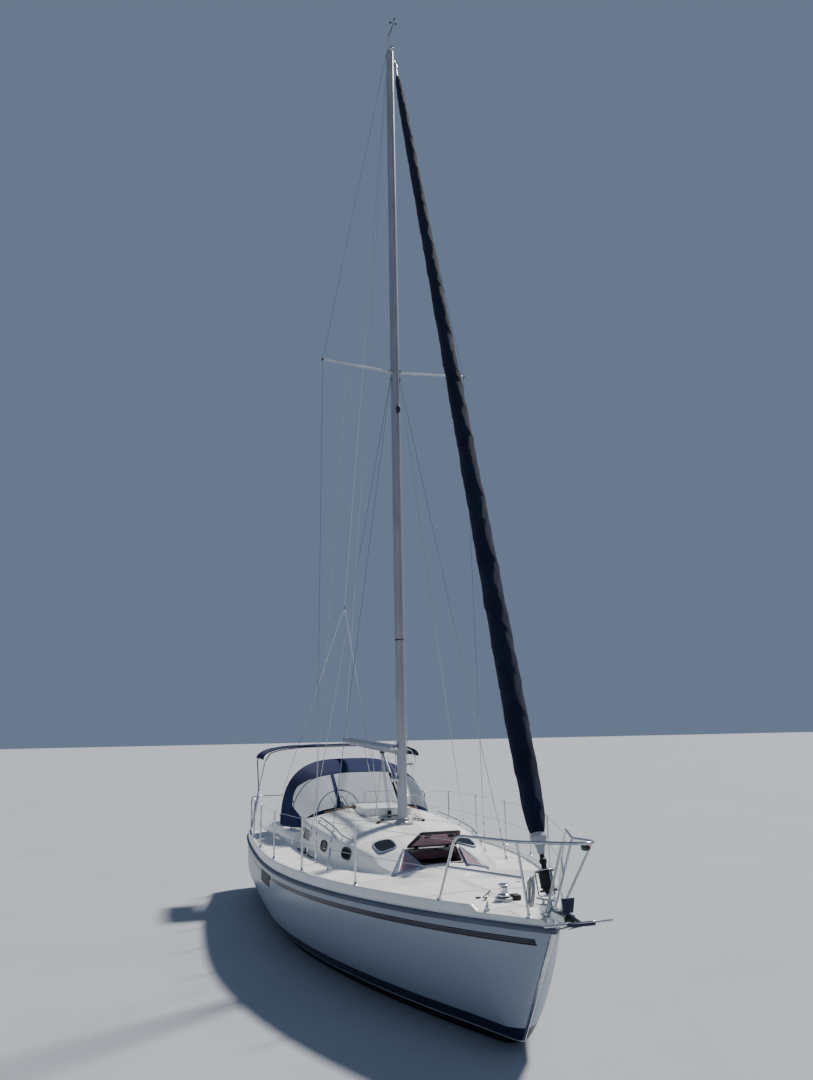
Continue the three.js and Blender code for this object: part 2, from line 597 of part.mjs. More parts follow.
function makeBelow() {
  // Keel sections: height, x of the quarter point, chord, thickness
  const keelRows = [
    [-430, 200, 1950, 210],
    [-700, 170, 1800, 205],
    [-1500, 60, 1480, 185],
    [-1620, 40, 1560, 260],
    [-1800, 20, 1600, 320],
    [-DRAFT + 40, 0, 1560, 280],
    [-DRAFT, 0, 1440, 170],
  ];
  const keel = loft(keelRows.map(([z, x, chord, thick]) => foil(x, z, chord, thick, 0.45)));
  add('keel', IRON, cut(keel, moved(hullBody, 0, 0, -GAP)));
  // Rudder blade sections: height, chord, thickness
  const blade = loft([[-235, 620, 110], [-700, 600, 100], [-1350, 470, 70], [-1560, 400, 40]]
    .map(([z, chord, thick]) => foil(RUDDER_X, z, chord, thick, 0.26)));
  const stock = rod([RUDDER_X, 0, -300], [RUDDER_X, 0, 400], STOCK_R, STOCK_SIDES);
  add('rudder', IRON, join(blade, stock));
  // Shaft and three-bladed propeller
  const shaft = rod(shaftPoint(-1800), shaftPoint(PROP.x - 60), SHAFT_R, SHAFT_SIDES);
  const hub = rod(shaftPoint(PROP.x + 45), shaftPoint(PROP.x - 55), 36, 12, 28);
  const nose = rod(shaftPoint(PROP.x - 40), shaftPoint(PROP.x - 110), 27, 12, 8);
  const outline = new THREE.Shape();
  outline.moveTo(-26, 20);
  outline.quadraticCurveTo(-78, PROP.radius * 0.6, -30, PROP.radius);
  outline.lineTo(26, PROP.radius);
  outline.quadraticCurveTo(70, PROP.radius * 0.6, 26, 20);
  const propBlade = new THREE.ExtrudeGeometry(outline, { depth: 9, bevelEnabled: false, curveSegments: 5 })
    .translate(0, 0, -4.5)
    .rotateX(Math.PI / 2)
    .rotateZ(Math.PI / 2 - PROP.pitch);
  const blades = [0, 120, 240].map((angle) => propBlade.clone()
    .rotateX(THREE.MathUtils.degToRad(angle))
    .rotateY(-SHAFT_TILT)
    .translate(PROP.x, 0, PROP.z));
  add('propeller', BRONZE, join(shaft, hub, nose, ...blades));
  const strutAt = PROP.x + 130;
  const boss = rod(shaftPoint(strutAt + 50), shaftPoint(strutAt - 50), 30, SHAFT_SIDES);
  const bore = rod(shaftPoint(strutAt + 90), shaftPoint(strutAt - 90), SHAFT_R + BEARING_GAP, SHAFT_SIDES);
  const arm = loft([[-630 + 34, 70, 14], [-280, 100, 18]].map(([z, chord, thick]) =>
    foil(strutAt, z, chord, thick, 0.5)));
  add('shaft_strut', BRONZE, cut(join(arm, boss), moved(hullBody, 0, 0, -GAP), bore));
}

// Rig
const mastXAt = (z) => MAST_X - MAST_RAKE * (z - MAST_FOOT_Z);
const MAST_LONG = 105;
const MAST_WIDE = 70;

function makeMast() {
  const foot = MAST_FOOT_Z + 45;
  const section = (z) => range(0, 342, 19).map((angle) => {
    const a = THREE.MathUtils.degToRad(angle);
    return [mastXAt(z) + MAST_LONG * Math.cos(a), MAST_WIDE * Math.sin(a), z];
  });
  const tube = loft([section(foot), section(MASTHEAD_Z - 60)]);
  const headX = mastXAt(MASTHEAD_Z);
  const head = box(headX - 170, headX + 150, -32, 32, MASTHEAD_Z - 90, MASTHEAD_Z - 30);
  const [boomX, , boomZ] = BOOM_FORE;
  const ears = [[boomZ - 82, boomX + 25], [boomZ + 66, boomX + 25], [VANG_FOOT_Z - 22, boomX + 20]]
    .map(([z, x]) => box(x, boomX + 125, -24, 24, z, z + 12));
  const stayTop = onStay([[14422, 6], [STAY_LENGTH + 40, 6]], 8);
  add('mast', ALLOY, join(tube, head, stayTop, ...ears));
  const step = join(box(MAST_X - 170, MAST_X + 170, -110, 110, MAST_FOOT_Z - 60, MAST_FOOT_Z + 25),
    rod([MAST_X, 0, MAST_FOOT_Z - 40], [MAST_X, 0, MAST_FOOT_Z + 45 - GAP], 95, 16));
  add('mast_step', ALLOY, cut(step, moved(trunkOuter, 0, 0, GAP)));
  const root = mastXAt(SPREADER_Z);
  for (const [word, side] of [['starboard', -1], ['port', 1]]) {
    const start = MAST_WIDE + GAP + 1;
    const ends = [[start, 0, 90, 30], [SPREADER_REACH - WIRE - 3, 78, 60, 22]];
    add(`spreader_${word}`, ALLOY, loft(ends.map(([y, rise, chord, thick]) =>
      [[-0.5, 0], [-0.2, 0.5], [0.25, 0.45], [0.5, 0], [0.25, -0.45], [-0.2, -0.5]].map(([u, v]) =>
        [root + u * chord, side * y, SPREADER_Z + rise + v * thick]))));
  }
}

// Chainplates: x of the cap shroud's, the forward lower's and the aft lower's
const CHAINPLATES = { cap: MAST_X, fore: 1290, aft: -215 };

function turnbuckle(x, side, towards) {
  const y = side * CHAINPLATE_Y;
  const foot = deckZ(x, y);
  const way = new THREE.Vector3(towards[0] - x, towards[1] - y, towards[2] - foot).normalize();
  const at = (d) => [x + way.x * d, y + way.y * d, foot + way.z * d];
  return join(rod(at(-30), at(60), 7, 6), rod(at(50), at(330), 11, 8), rod(at(300), towards, WIRE, 6),
    box(x - 45, x + 45, y - 16, y + 16, foot - 20, foot + 8));
}

function makeShrouds() {
  for (const [word, side] of [['starboard', -1], ['port', 1]]) {
    const tip = [mastXAt(SPREADER_Z), side * SPREADER_REACH, SPREADER_Z + 78];
    const headZ = MASTHEAD_Z - 190;
    const head = [mastXAt(headZ), side * (MAST_WIDE + 12), headZ];
    const tangPlate = (x, z, long) => {
      const [inner, outer] = [side * (MAST_WIDE + 1), side * (MAST_WIDE + 22)];
      return box(x - long, x + long, Math.min(inner, outer), Math.max(inner, outer), z - 60, z + 40);
    };
    const cap = join(turnbuckle(CHAINPLATES.cap, side, tip), rod(tip, head, WIRE, 6),
      tangPlate(head[0], headZ, 20));
    add(`cap_shroud_${word}`, STEEL, cut(cap, raisedDeck));
    const tangZ = SPREADER_Z - 140;
    const tangX = mastXAt(tangZ);
    const tangEnd = (shift) => [tangX + shift, side * (MAST_WIDE + 12), tangZ];
    const lowers = join(turnbuckle(CHAINPLATES.fore, side, tangEnd(14)),
      turnbuckle(CHAINPLATES.aft, side, tangEnd(-14)), tangPlate(tangX, tangZ, 30));
    add(`lower_shrouds_${word}`, STEEL, cut(lowers, raisedDeck));
  }
  const top = [mastXAt(MASTHEAD_Z) - 173, 0, MASTHEAD_Z - 91];
  const plate = box(-3395, -3325, -22, 22, 5430, 5550);
  const legs = [-1, 1].map((side) => {
    const y = side * 1180;
    return rod([-3360, side * 12, 5480], [-4960, y, deckZ(-4960, y) - 20], WIRE, 6);
  });
  add('backstay', STEEL, cut(join(rod(top, [-3360, 0, 5520], WIRE, 6), ...legs, plate), raisedDeck));
}

const ROLLER_FLOOR = 1390;
const STAY_FOOT = new THREE.Vector3(5140, 0, 1470);
const STAY_HEAD = new THREE.Vector3(mastXAt(MASTHEAD_Z) + 151, 0, MASTHEAD_Z - 60);
const STAY_LENGTH = STAY_FOOT.distanceTo(STAY_HEAD);
const stayAt = (d) => STAY_FOOT.clone().lerp(STAY_HEAD, d / STAY_LENGTH).toArray();

// A turned piece along the forestay: distance from the foot and radius
function onStay(rows, sides) {
  const profile = [[rows[0][0], 0], ...rows, [rows.at(-1)[0], 0]].map(([d, r]) => new THREE.Vector2(r, d));
  const turn = new THREE.Quaternion().setFromUnitVectors(
    new THREE.Vector3(0, 1, 0), STAY_HEAD.clone().sub(STAY_FOOT).normalize());
  return new THREE.LatheGeometry(profile, sides).applyQuaternion(turn).translate(...STAY_FOOT.toArray());
}

function makeHeadsail() {
  // Both tables: distance up the stay, radius
  const sail = [[558 + GAP, 45], [720, 92], [1100, 116], [2200, 124], [5000, 112], [9000, 92], [12600, 74],
    [13700, 50], [13900, 18], [14150, 18], [14155, 34], [14280, 34], [14285, 16], [14422 - GAP, 16]];
  add('furled_genoa', CANVAS, onStay(sail, 14));
  const drum = [[100 + GAP, 30], [121, 34], [122, 84], [135, 84], [140, 50], [285, 50], [290, 84],
    [303, 84], [305, 24], [558, 22]];
  add('furler_drum', BLACK, onStay(drum, 16));
  // Toggle and cage at the stem
  const cage = [0, 120, 240].map((angle) => {
    const a = THREE.MathUtils.degToRad(angle);
    const turn = new THREE.Quaternion().setFromUnitVectors(
      new THREE.Vector3(0, 1, 0), STAY_HEAD.clone().sub(STAY_FOOT).normalize());
    const p = (d) => new THREE.Vector3(96 * Math.cos(a), d, 96 * Math.sin(a))
      .applyQuaternion(turn).add(STAY_FOOT).toArray();
    return join(rod(p(80), p(300), 6, 6), rod(stayAt(88), p(88), 7, 6));
  });
  const toggle = join(onStay([[-95, 14], [90, 14]], 10), onStay([[76, 40], [100, 40]], 12), ...cage);
  add('furler_cage', STEEL, cut(toggle, box(5000, 5300, -70, 70, 1300, ROLLER_FLOOR + GAP)));
}

const VANG_FOOT_Z = 2010;
const BOOM_FORE = [MAST_X - MAST_LONG - 90, 0, 2762];
const BOOM_AFT_X = -3250;
function makeBoom() {
  const rows = [[BOOM_FORE[0], BOOM_FORE[2], 70, 45], [-2600, 2862, 66, 45], [BOOM_AFT_X, 2884, 48, 42]];
  const beam = loft(rows.map(([x, z, tall, wide]) =>
    [[1, 0.6], [0.6, 1], [-0.6, 1], [-1, 0.6], [-1, -0.6], [-0.6, -1], [0.6, -1], [1, -0.6]]
      .map(([u, v]) => [x, u * wide, z + v * tall])));
  const pinX = BOOM_FORE[0] + 45;
  const pin = join(rod([BOOM_FORE[0] - 10, 0, BOOM_FORE[2]], [pinX, 0, BOOM_FORE[2]], 16, 8),
    rod([pinX, 0, BOOM_FORE[2] - 70 + GAP], [pinX, 0, BOOM_FORE[2] + 66 - GAP], 14, 10));
  const boom = join(beam, pin);
  add('boom', ALLOY, boom);
  // The vang's heel stands on the mast's lower ear and its head meets the boom from below.
  const heel = rod([pinX, 0, VANG_FOOT_Z - 10 + GAP], [pinX, 0, VANG_FOOT_Z + 30], 14, 10);
  const strut = rod([pinX, 0, VANG_FOOT_Z + 12], [-560, 0, 2730], 20, 10);
  add('vang', ALLOY, cut(join(heel, strut), moved(boom, 0, 0, -GAP)));
}

const VANE_TO_CUPS = 290;
function makeMasthead() {
  const x = mastXAt(MASTHEAD_Z);
  const z = MASTHEAD_Z - 30 + GAP;
  const whip = join(rod([x - 150, 0, z], [x - 150, 0, z + 60], 9, 8),
    rod([x - 150, 0, z + 50], [x - 150, 0, z + 620], 3, 6));
  const post = join(rod([x + 60, 0, z], [x + 60, 0, z + 380], 7, 8),
    rod([x + 60, 0, z + 372], [x + VANE_TO_CUPS, 0, z + 372], 6, 6));
  add('masthead_instruments', BLACK, join(whip, post, box(x - 165, x + 90, -15, 15, z, z + 10)));
  const cups = [0, 120, 240].map((angle) => {
    const a = THREE.MathUtils.degToRad(angle);
    const end = [x + VANE_TO_CUPS + 62 * Math.cos(a), 62 * Math.sin(a), z + 395];
    return join(rod([x + VANE_TO_CUPS, 0, z + 395], end, 3, 6),
      new THREE.IcosahedronGeometry(20, 0).translate(...end));
  });
  const hub = rod([x + VANE_TO_CUPS, 0, z + 378 + GAP], [x + VANE_TO_CUPS, 0, z + 402], 9, 8);
  add('wind_cups', BLACK, join(hub, ...cups));
  const vane = join(rod([x + 60, 0, z + 380 + GAP], [x + 60, 0, z + 410], 7, 8),
    rod([x - 50, 0, z + 408], [x + 150, 0, z + 408], 3, 6), box(x - 50, x + 10, -2, 2, z + 406, z + 450));
  add('wind_vane', BLACK, vane);
}

// Rails
const railBase = (x, side) => [x, side * (sheerHalf(x) - 34), sheerZ(x) + bulwarkAt(x)];

// Stanchions with the upper lifeline through their heads, in a fore and an aft group a side
const STANCHIONS_FORE = [2690, 1350, 100];
const STANCHIONS_AFT = [-1200, -2450];

function makeRails() {
  for (const [word, side] of [['starboard', -1], ['port', 1]]) {
    const post = (x) => {
      const [px, py, pz] = railBase(x, side);
      return join(rod([px, py, pz + GAP], [px, py, pz + STANCHION_HEIGHT], TUBE, 6),
        rod([px, py, pz - 6], [px, py, pz + 12], 26, 8));
    };
    const eye = (x) => {
      const [px, py, pz] = railBase(x, side);
      return [px, py, pz + STANCHION_HEIGHT - 15];
    };
    const group = (stations, wired) => {
      const wires = wired.slice(1).map((x, i) => rod(eye(wired[i]), eye(x), 4, 6));
      return cut(join(...stations.map(post), ...wires), raisedDeck);
    };
    const middle = STANCHIONS_FORE.at(-1);
    const [px, py, pz] = railBase(middle, side);
    const middlePost = rod([px, py, pz], [px, py, pz + 2 * STANCHION_HEIGHT], TUBE + GAP, 6);
    add(`stanchions_${word}`, STEEL, group(STANCHIONS_FORE, STANCHIONS_FORE));
    add(`aft_stanchions_${word}`, STEEL, cut(group(STANCHIONS_AFT, [middle, ...STANCHIONS_AFT]), middlePost));
  }
}

function makePulpit() {
  // One side of the bow rail, port; the other mirrors it
  const top = [[4330, 620, 2020], [5080, 290, 2030], [5700, 150, 2085], [5870, 60, 2100]];
  const nose = [5890, 0, 2100];
  const mid = [[4135, 660, 1700], [4990, 235, 1700]];
  const half = (side) => {
    const base = railBase(3980, side);
    return [[base[0], base[1], base[2] + GAP], ...top.map(([x, y, z]) => [x, side * y, z])];
  };
  const rail = bentTube([...half(1), nose, ...half(-1).reverse()]);
  const bars = [1, -1].flatMap((side) => {
    const m = ([x, y, z]) => [x, side * y, z];
    const front = railBase(4930, side);
    return [
      rod([front[0], front[1], front[2] + GAP], m(top[1]), TUBE, 6),
      rod(m(mid[0]), m(mid[1]), TUBE - 1, 6),
      rod(m(top[2]), [5165, side * 72, 1400], TUBE, 6),
    ];
  });
  add('pulpit', STEEL, cut(join(rail, ...bars), raisedDeck));
}

function makePushpit() {
  for (const [word, side] of [['starboard', -1], ['port', 1]]) {
    const at = (x, y, rise) => [x, side * y, sheerZ(x) + BULWARK + rise];
    const fore = railBase(-3620, side);
    const foreY = Math.abs(fore[1]);
    const corner = railBase(-5060, side);
    const foot = [fore[0], fore[1], fore[2] + GAP];
    const bars = [
      bentTube([foot, at(-3620, foreY, 600), at(-4900, 1540, 600), at(-5080, 1380, 600),
        at(-5080, 850, 600), [-5080, side * 850, deckZ(-5080, 850) - 10]]),
      rod([corner[0], corner[1] * 0.98, corner[2] + GAP], at(-5040, 1430, 590), TUBE, 6),
      bentTube([at(-3620, foreY, 320), at(-4900, 1545, 320), at(-5060, 1450, 320)], TUBE - 2, 6),
    ];
    add(`pushpit_${word}`, STEEL, cut(join(...bars), raisedDeck));
  }
}

// Canvas: arches across the boat, given as x, half width, base height, crown height, base x
function arch([x, half, base, crown, baseX], inset) {
  return range(0, 180, 16).map((angle) => {
    const a = THREE.MathUtils.degToRad(angle);
    const s = Math.sin(a);
    const c = Math.cos(a);
    const y = (half - inset) * Math.sign(c) * Math.abs(c) ** 0.6;
    const rise = s ** 0.75;
    return [baseX + (x - baseX) * rise, y, base + (crown - inset - base) * rise];
  });
}
const canopy = (rows, thick) => loft(rows.map((row) => [...arch(row, 0), ...arch(row, thick).reverse()]));

function makeCanvas() {
  const dodger = [
    [-1235, 1120, 1462, 1720, -1480],
    [-1250, 1130, 1480, 1905, -1750],
    [-1600, 1190, 1470, 2170, -1900],
    [-2000, 1235, 1450, 2380, -2150],
    [-2500, 1260, 1420, 2520, -2620],
    [-2920, 1270, 1410, 2545, -3020],
  ];
  // Room for the sliding hatch under the front's foot
  const slideTop = trunkTop(HOOD.aftX, 0) + SLIDE_LOW + 24;
  const slideRoom = box(-1600, HOOD.aftX, -340, 340, 1600, slideTop + 6);
  const skin = cut(canopy(dodger, 14), moved(trunkOuter, 0, 0, GAP), slideRoom);
  const pane = (grow) => loft([[1930 - grow, 1030], [2330 + grow, 1000]].map(([z, half]) =>
    [[-2300, -half - grow, z], [-1100, -half - grow, z], [-1100, half + grow, z], [-2300, half + grow, z]]));
  add('dodger_canvas', CANVAS, cut(skin, pane(0)));
  add('dodger_window', VINYL, common(skin, pane(-1)));
  const bimini = [
    [-3440, 1560, 2540, 2790, -3440],
    [-3900, 1570, 2555, 2815, -3900],
    [-4350, 1560, 2550, 2810, -4350],
    [-4760, 1530, 2520, 2770, -4760],
  ];
  // Slots that the backstay's legs pass through
  const slots = [[-800, -690], [690, 800]].map(([y0, y1]) => box(-4900, -4310, y0, y1, 2400, 3000));
  add('bimini_canvas', CANVAS, cut(canopy(bimini, 14), ...slots));
  const legs = [-1, 1].flatMap((side) => {
    const pivot = [-4020, side * 1560, 1960];
    const hip = (x) => [x, side * 1520, 2500];
    return [rod(railBase(-3800, side), pivot, TUBE, 6),
      bentTube([hip(-3500), pivot, hip(-4700)], TUBE, 6)];
  });
  const bow = (x, z) => bentTube([[-1520, 2500], [-1380, z - 90], [-900, z - 30], [0, z], [900, z - 30],
    [1380, z - 90], [1520, 2500]].map(([y, level]) => [x, y, level]), TUBE, 6);
  const frame = join(bow(-3500, 2764), bow(-4700, 2747), ...legs);
  add('bimini_frame', STEEL, cut(frame, raisedDeck, moved(canopy(bimini, 14), 0, 0, -GAP)));
}

function makeDeckGear() {
  const windlassX = 4080;
  const base = deckZ(windlassX, 0);
  const foot = rod([windlassX, 0, base - 20], [windlassX, 0, base + 35], 95, 16);
  add('windlass_base', ALLOY, cut(foot, raisedDeck));
  // Height above the deck, radius
  const capstan = [[35 + GAP, 45], [60, 70], [75, 42], [130, 40], [150, 60], [165, 60]];
  add('windlass_drum', STEEL, onAxis(windlassX, 0, capstan.map(([rise, radius]) => [base + rise, radius])));
  for (const [name, x, y, turn] of [
    ['bow_cleat_starboard', 4400, -330, -0.45], ['bow_cleat_port', 4400, 330, 0.45]]) {
    const z = deckZ(x, y);
    const horn = rod([-130, 0, 52], [130, 0, 52], 12, 8);
    const feet = [-45, 45].map((at) => rod([at, 0, -15], [at, 0, 52], 14, 8));
    const pad = box(-75, 75, -26, 26, -15, 8);
    add(name, STEEL, cut(join(horn, pad, ...feet).rotateZ(turn).translate(x, y, z), raisedDeck));
  }
  for (const [word, side] of [['starboard', -1], ['port', 1]]) {
    const z = WINCH_BASE_Z;
    const rows = [[z + GAP, 66], [z + 20, 48], [z + 95, 46], [z + 110, 60], [z + 135, 60]];
    add(`winch_drum_${word}`, STEEL, onAxis(WINCH_X, side * WINCH_Y, rows));
  }
  const cheeks = [-58, 50].map((y) => box(5020, 5480, y, y + 8, ROLLER_FLOOR - 5, 1450));
  const roller = join(...cheeks, box(5020, 5300, -58, 58, ROLLER_FLOOR - 18, ROLLER_FLOOR),
    box(5020, 5150, -58, 58, 1325, ROLLER_FLOOR - 10), rod([5440, -58, 1418], [5440, 58, 1418], 26, 12));
  add('bow_roller', STEEL, cut(roller, raisedDeck));
}

function onAxis(x, y, rows) {
  const profile = [[rows[0][0], 0], ...rows, [rows.at(-1)[0], 0]].map(([z, r]) => new THREE.Vector2(r, z));
  return new THREE.LatheGeometry(profile, 16).rotateX(Math.PI / 2).translate(x, y, 0);
}

// Boarding ladder, folded up at the transom: its rails, treads and hinge pin
const LADDER = { x: -5202, z: 365, half: 170, tall: 760 };
function makeLadder() {
  const { x, z, half, tall } = LADDER;
  const rails = [-half, half].map((y) => rod([x, y, z], [x, y, z + tall], 13, 8));
  const treads = [120, 360, 600].map((rise) => box(x - 14, x + 14, -half, half, z + rise, z + rise + 40));
  const pin = rod([x, -half - 32, z], [x, half + 32, z], 10, 16);
  add('boarding_ladder', STEEL, join(...rails, ...treads, pin));
  // Bracket on the transom below the swim step's edge, with the pin's bores in its ears
  const face = TRANSOM_X - GAP;
  const low = SWIM_STEP.z - 80;
  const foot = box(face - 5, face, -half - 35, half + 35, low, SWIM_STEP.z - 5);
  const ears = [-1, 1].map((side) => {
    const [inner, outer] = [side * (half + 19), side * (half + 29)];
    return box(x - 22, face, Math.min(inner, outer), Math.max(inner, outer), low, z + 22);
  });
  const bore = rod([x, -half - 60, z], [x, half + 60, z], 10.6, 16);
  add('ladder_bracket', STEEL, cut(join(foot, ...ears), bore));
}

// Anchor stowed with its shank on the bow roller
function makeAnchor() {
  const drop = -8.4;
  const shank = loft([[5360, 1475], [5700, 1440]].map(([x, z]) =>
    [[x, -7, z - 14], [x, 7, z - 14], [x, 7, z + 14], [x, -7, z + 14]]));
  const stock = rod([5640, -330, 1432], [5640, 330, 1432], 11, 8);
  const flukes = [-1, 1].map((side) => loft([
    [[5700, side * 20, 1428], [5700, side * 120, 1428], [5700, side * 120, 1446], [5700, side * 20, 1446]],
    [[5300, side * 75, 1300], [5300, side * 85, 1300], [5300, side * 85, 1308], [5300, side * 75, 1308]],
  ]));
  const crown = box(5660, 5720, -120, 120, 1422, 1452);
  add('anchor', IRON, moved(join(shank, stock, crown, ...flukes), 0, 0, drop));
}

makeHull();
const deck = makeDeck();
makeRubRail();
const shell = makeTrunk();
makeGlazing(shell);
makeHatches();
makeCockpit(deck);
makeHelm();
makeBelow();
makeMast();
makeShrouds();
makeHeadsail();
makeBoom();
makeMasthead();
makeRails();
makePulpit();
makePushpit();
makeCanvas();
makeDeckGear();
makeAnchor();
makeLadder();

export default yacht;
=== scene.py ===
import json
import math

import bpy
from mathutils import Matrix, Vector
from mathutils.bvhtree import BVHTree

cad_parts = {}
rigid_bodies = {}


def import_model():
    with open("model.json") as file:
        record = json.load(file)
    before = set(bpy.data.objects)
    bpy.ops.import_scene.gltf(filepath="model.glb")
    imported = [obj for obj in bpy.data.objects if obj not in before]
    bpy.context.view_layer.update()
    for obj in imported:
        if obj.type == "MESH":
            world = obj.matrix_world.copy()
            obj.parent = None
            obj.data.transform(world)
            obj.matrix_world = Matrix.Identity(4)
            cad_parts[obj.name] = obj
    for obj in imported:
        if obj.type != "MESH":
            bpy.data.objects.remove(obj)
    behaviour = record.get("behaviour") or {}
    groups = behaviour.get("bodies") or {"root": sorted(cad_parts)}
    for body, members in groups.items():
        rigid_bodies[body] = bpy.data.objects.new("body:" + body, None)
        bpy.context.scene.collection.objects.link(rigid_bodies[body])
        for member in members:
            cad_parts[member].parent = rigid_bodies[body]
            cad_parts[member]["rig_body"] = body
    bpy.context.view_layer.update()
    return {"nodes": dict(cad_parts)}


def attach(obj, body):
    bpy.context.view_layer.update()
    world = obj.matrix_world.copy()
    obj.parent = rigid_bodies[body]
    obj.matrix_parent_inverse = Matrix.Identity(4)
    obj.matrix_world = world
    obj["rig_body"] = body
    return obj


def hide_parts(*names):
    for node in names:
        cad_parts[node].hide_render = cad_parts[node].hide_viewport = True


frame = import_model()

# A sailing yacht afloat, dressed for a picture. Metres, +X towards the bow, +Y to port, the water at z 0.
bpy.ops.object.select_all(action="DESELECT")

SIDES = (("starboard", -1), ("port", 1))

# Hull lines, the same as the solids have
LENGTH = 10.36
STEM_X = 5.18
TRANSOM_X = STEM_X - LENGTH
HALF_BEAM = 1.897
WIDEST = 0.577
BOW_FULLNESS = 2.1
STERN_NARROWING = 0.16
SHEER_BOW = 1.262
SHEER_LOW = 1.126
SHEER_STERN = 1.010
SHEER_LOW_AT = 0.65
BOOT_Z = 0.103
BOOT_STEM_X = 4.387
BOOT_HALF_BEAM = 1.542
BOOT_WIDEST = 0.58
BOOT_FULLNESS = 1.71
BOOT_LENGTH = LENGTH - 1.0
BODY_DEPTH = 0.55
BODY_DEEPEST_X = -0.3
FORE_ROCKER = 2.4
STERN_RISE = 0.09
BULWARK = 0.145
BOW_BULWARK = 0.085
BULWARK_STEP_X = 4.38
DECK_EDGE = 0.06
DECK_CAMBER = 0.055
MAST_X = 0.509
MAST_FOOT_Z = 1.727
MASTHEAD_Z = 15.7
MAST_RAKE = 0.149 / 13.8
MAST_LONG = 0.105
MAST_WIDE = 0.07
SPREADER_Z = 8.976
SPREADER_REACH = 1.251
SPREADER_TIP_RISE = 0.078


def along(table, x):
    """A value between the rows of a table of x and value."""
    rows = sorted(table)
    if x <= rows[0][0]:
        return rows[0][1]
    for (x0, v0), (x1, v1) in zip(rows, rows[1:]):
        if x <= x1:
            return v0 + (v1 - v0) * (x - x0) / (x1 - x0)
    return rows[-1][1]


def eased(table, x):
    """A value between the rows of a table of x and value, on a smooth curve."""
    rows = sorted(table)
    if x <= rows[0][0]:
        return rows[0][1]
    if x >= rows[-1][0]:
        return rows[-1][1]
    i = max(k for k in range(len(rows) - 1) if rows[k][0] <= x)

    def slope(k):
        before = rows[max(k - 1, 0)]
        after = rows[min(k + 1, len(rows) - 1)]
        return (after[1] - before[1]) / (after[0] - before[0])

    (x0, v0), (x1, v1) = rows[i], rows[i + 1]
    run = x1 - x0
    t = (x - x0) / run
    start = (1 + 2 * t) * (1 - t) ** 2 * v0 + t * (1 - t) ** 2 * run * slope(i)
    end = t * t * (3 - 2 * t) * v1 + t * t * (t - 1) * run * slope(i + 1)
    return start + end


def spaced(low, high, steps):
    return [low + (high - low) * i / steps for i in range(steps + 1)]


def fraction(x):
    return (STEM_X - x) / LENGTH


def sheer_half(x):
    t = fraction(x)
    if t < WIDEST:
        return HALF_BEAM * (1 - max(0, 1 - t / WIDEST) ** BOW_FULLNESS)
    return HALF_BEAM * (1 - STERN_NARROWING * ((t - WIDEST) / (1 - WIDEST)) ** 2)


def sheer_z(x):
    t = fraction(x)
    if t < SHEER_LOW_AT:
        return SHEER_LOW + (SHEER_BOW - SHEER_LOW) * ((SHEER_LOW_AT - t) / SHEER_LOW_AT) ** 2
    return SHEER_LOW + (SHEER_STERN - SHEER_LOW) * ((t - SHEER_LOW_AT) / (1 - SHEER_LOW_AT)) ** 2


def boot_half(x):
    t = (BOOT_STEM_X - x) / BOOT_LENGTH
    if t < BOOT_WIDEST:
        return BOOT_HALF_BEAM * (1 - max(0, 1 - t / BOOT_WIDEST) ** BOOT_FULLNESS)
    return BOOT_HALF_BEAM * (1 - STERN_NARROWING * ((t - BOOT_WIDEST) / (1 - BOOT_WIDEST)) ** 2)


def body_bottom(x):
    if x > BOOT_STEM_X:
        return BOOT_Z + (SHEER_BOW - BOOT_Z) * (x - BOOT_STEM_X) / (STEM_X - BOOT_STEM_X)
    if x > BODY_DEEPEST_X:
        s = (x - BODY_DEEPEST_X) / (BOOT_STEM_X - BODY_DEEPEST_X)
        return -BODY_DEPTH + (BODY_DEPTH + BOOT_Z) * s ** FORE_ROCKER
    s = (BODY_DEEPEST_X - x) / (BODY_DEEPEST_X - TRANSOM_X)
    return -BODY_DEPTH + (BODY_DEPTH + STERN_RISE) * s ** 2


def section_half(x, u):
    """Half width of the hull at station x, a share u of the way from the bottom to the sheer."""
    xs = min(x, 3.9)
    rounding = along([[-5.2, 2], [0, 2], [4.0, 1.5]], xs)
    boot = (BOOT_Z - body_bottom(xs)) / (sheer_z(xs) - body_bottom(xs))
    ratio = min(boot_half(xs) / sheer_half(xs), 0.97)
    full = min(math.log(1 - ratio ** rounding) / math.log(1 - boot), 4.2)
    return sheer_half(x) * (1 - (1 - u) ** full) ** (1 / rounding)


def bulwark_at(x):
    return along([[BULWARK_STEP_X - 0.04, BULWARK], [BULWARK_STEP_X + 0.04, BOW_BULWARK]], x)


def deck_z(x, y):
    half = sheer_half(x)
    return sheer_z(x) + DECK_EDGE + DECK_CAMBER * half * (1 - (y / half) ** 2)


def mast_x(z):
    return MAST_X - MAST_RAKE * (z - MAST_FOOT_Z)


def rail_base(x, side):
    return Vector((x, side * (sheer_half(x) - 0.034), sheer_z(x) + bulwark_at(x)))


# Camera: at the photograph's place, height and lens, seen from the starboard bow
CAMERA_AT = Vector((12.164, -3.562, 3.067))
CAMERA_YAW = math.radians(162.417)
CAMERA_PITCH = math.radians(13.617)
CAMERA_ROLL = math.radians(-0.962)
CAMERA_LENS = 26.038


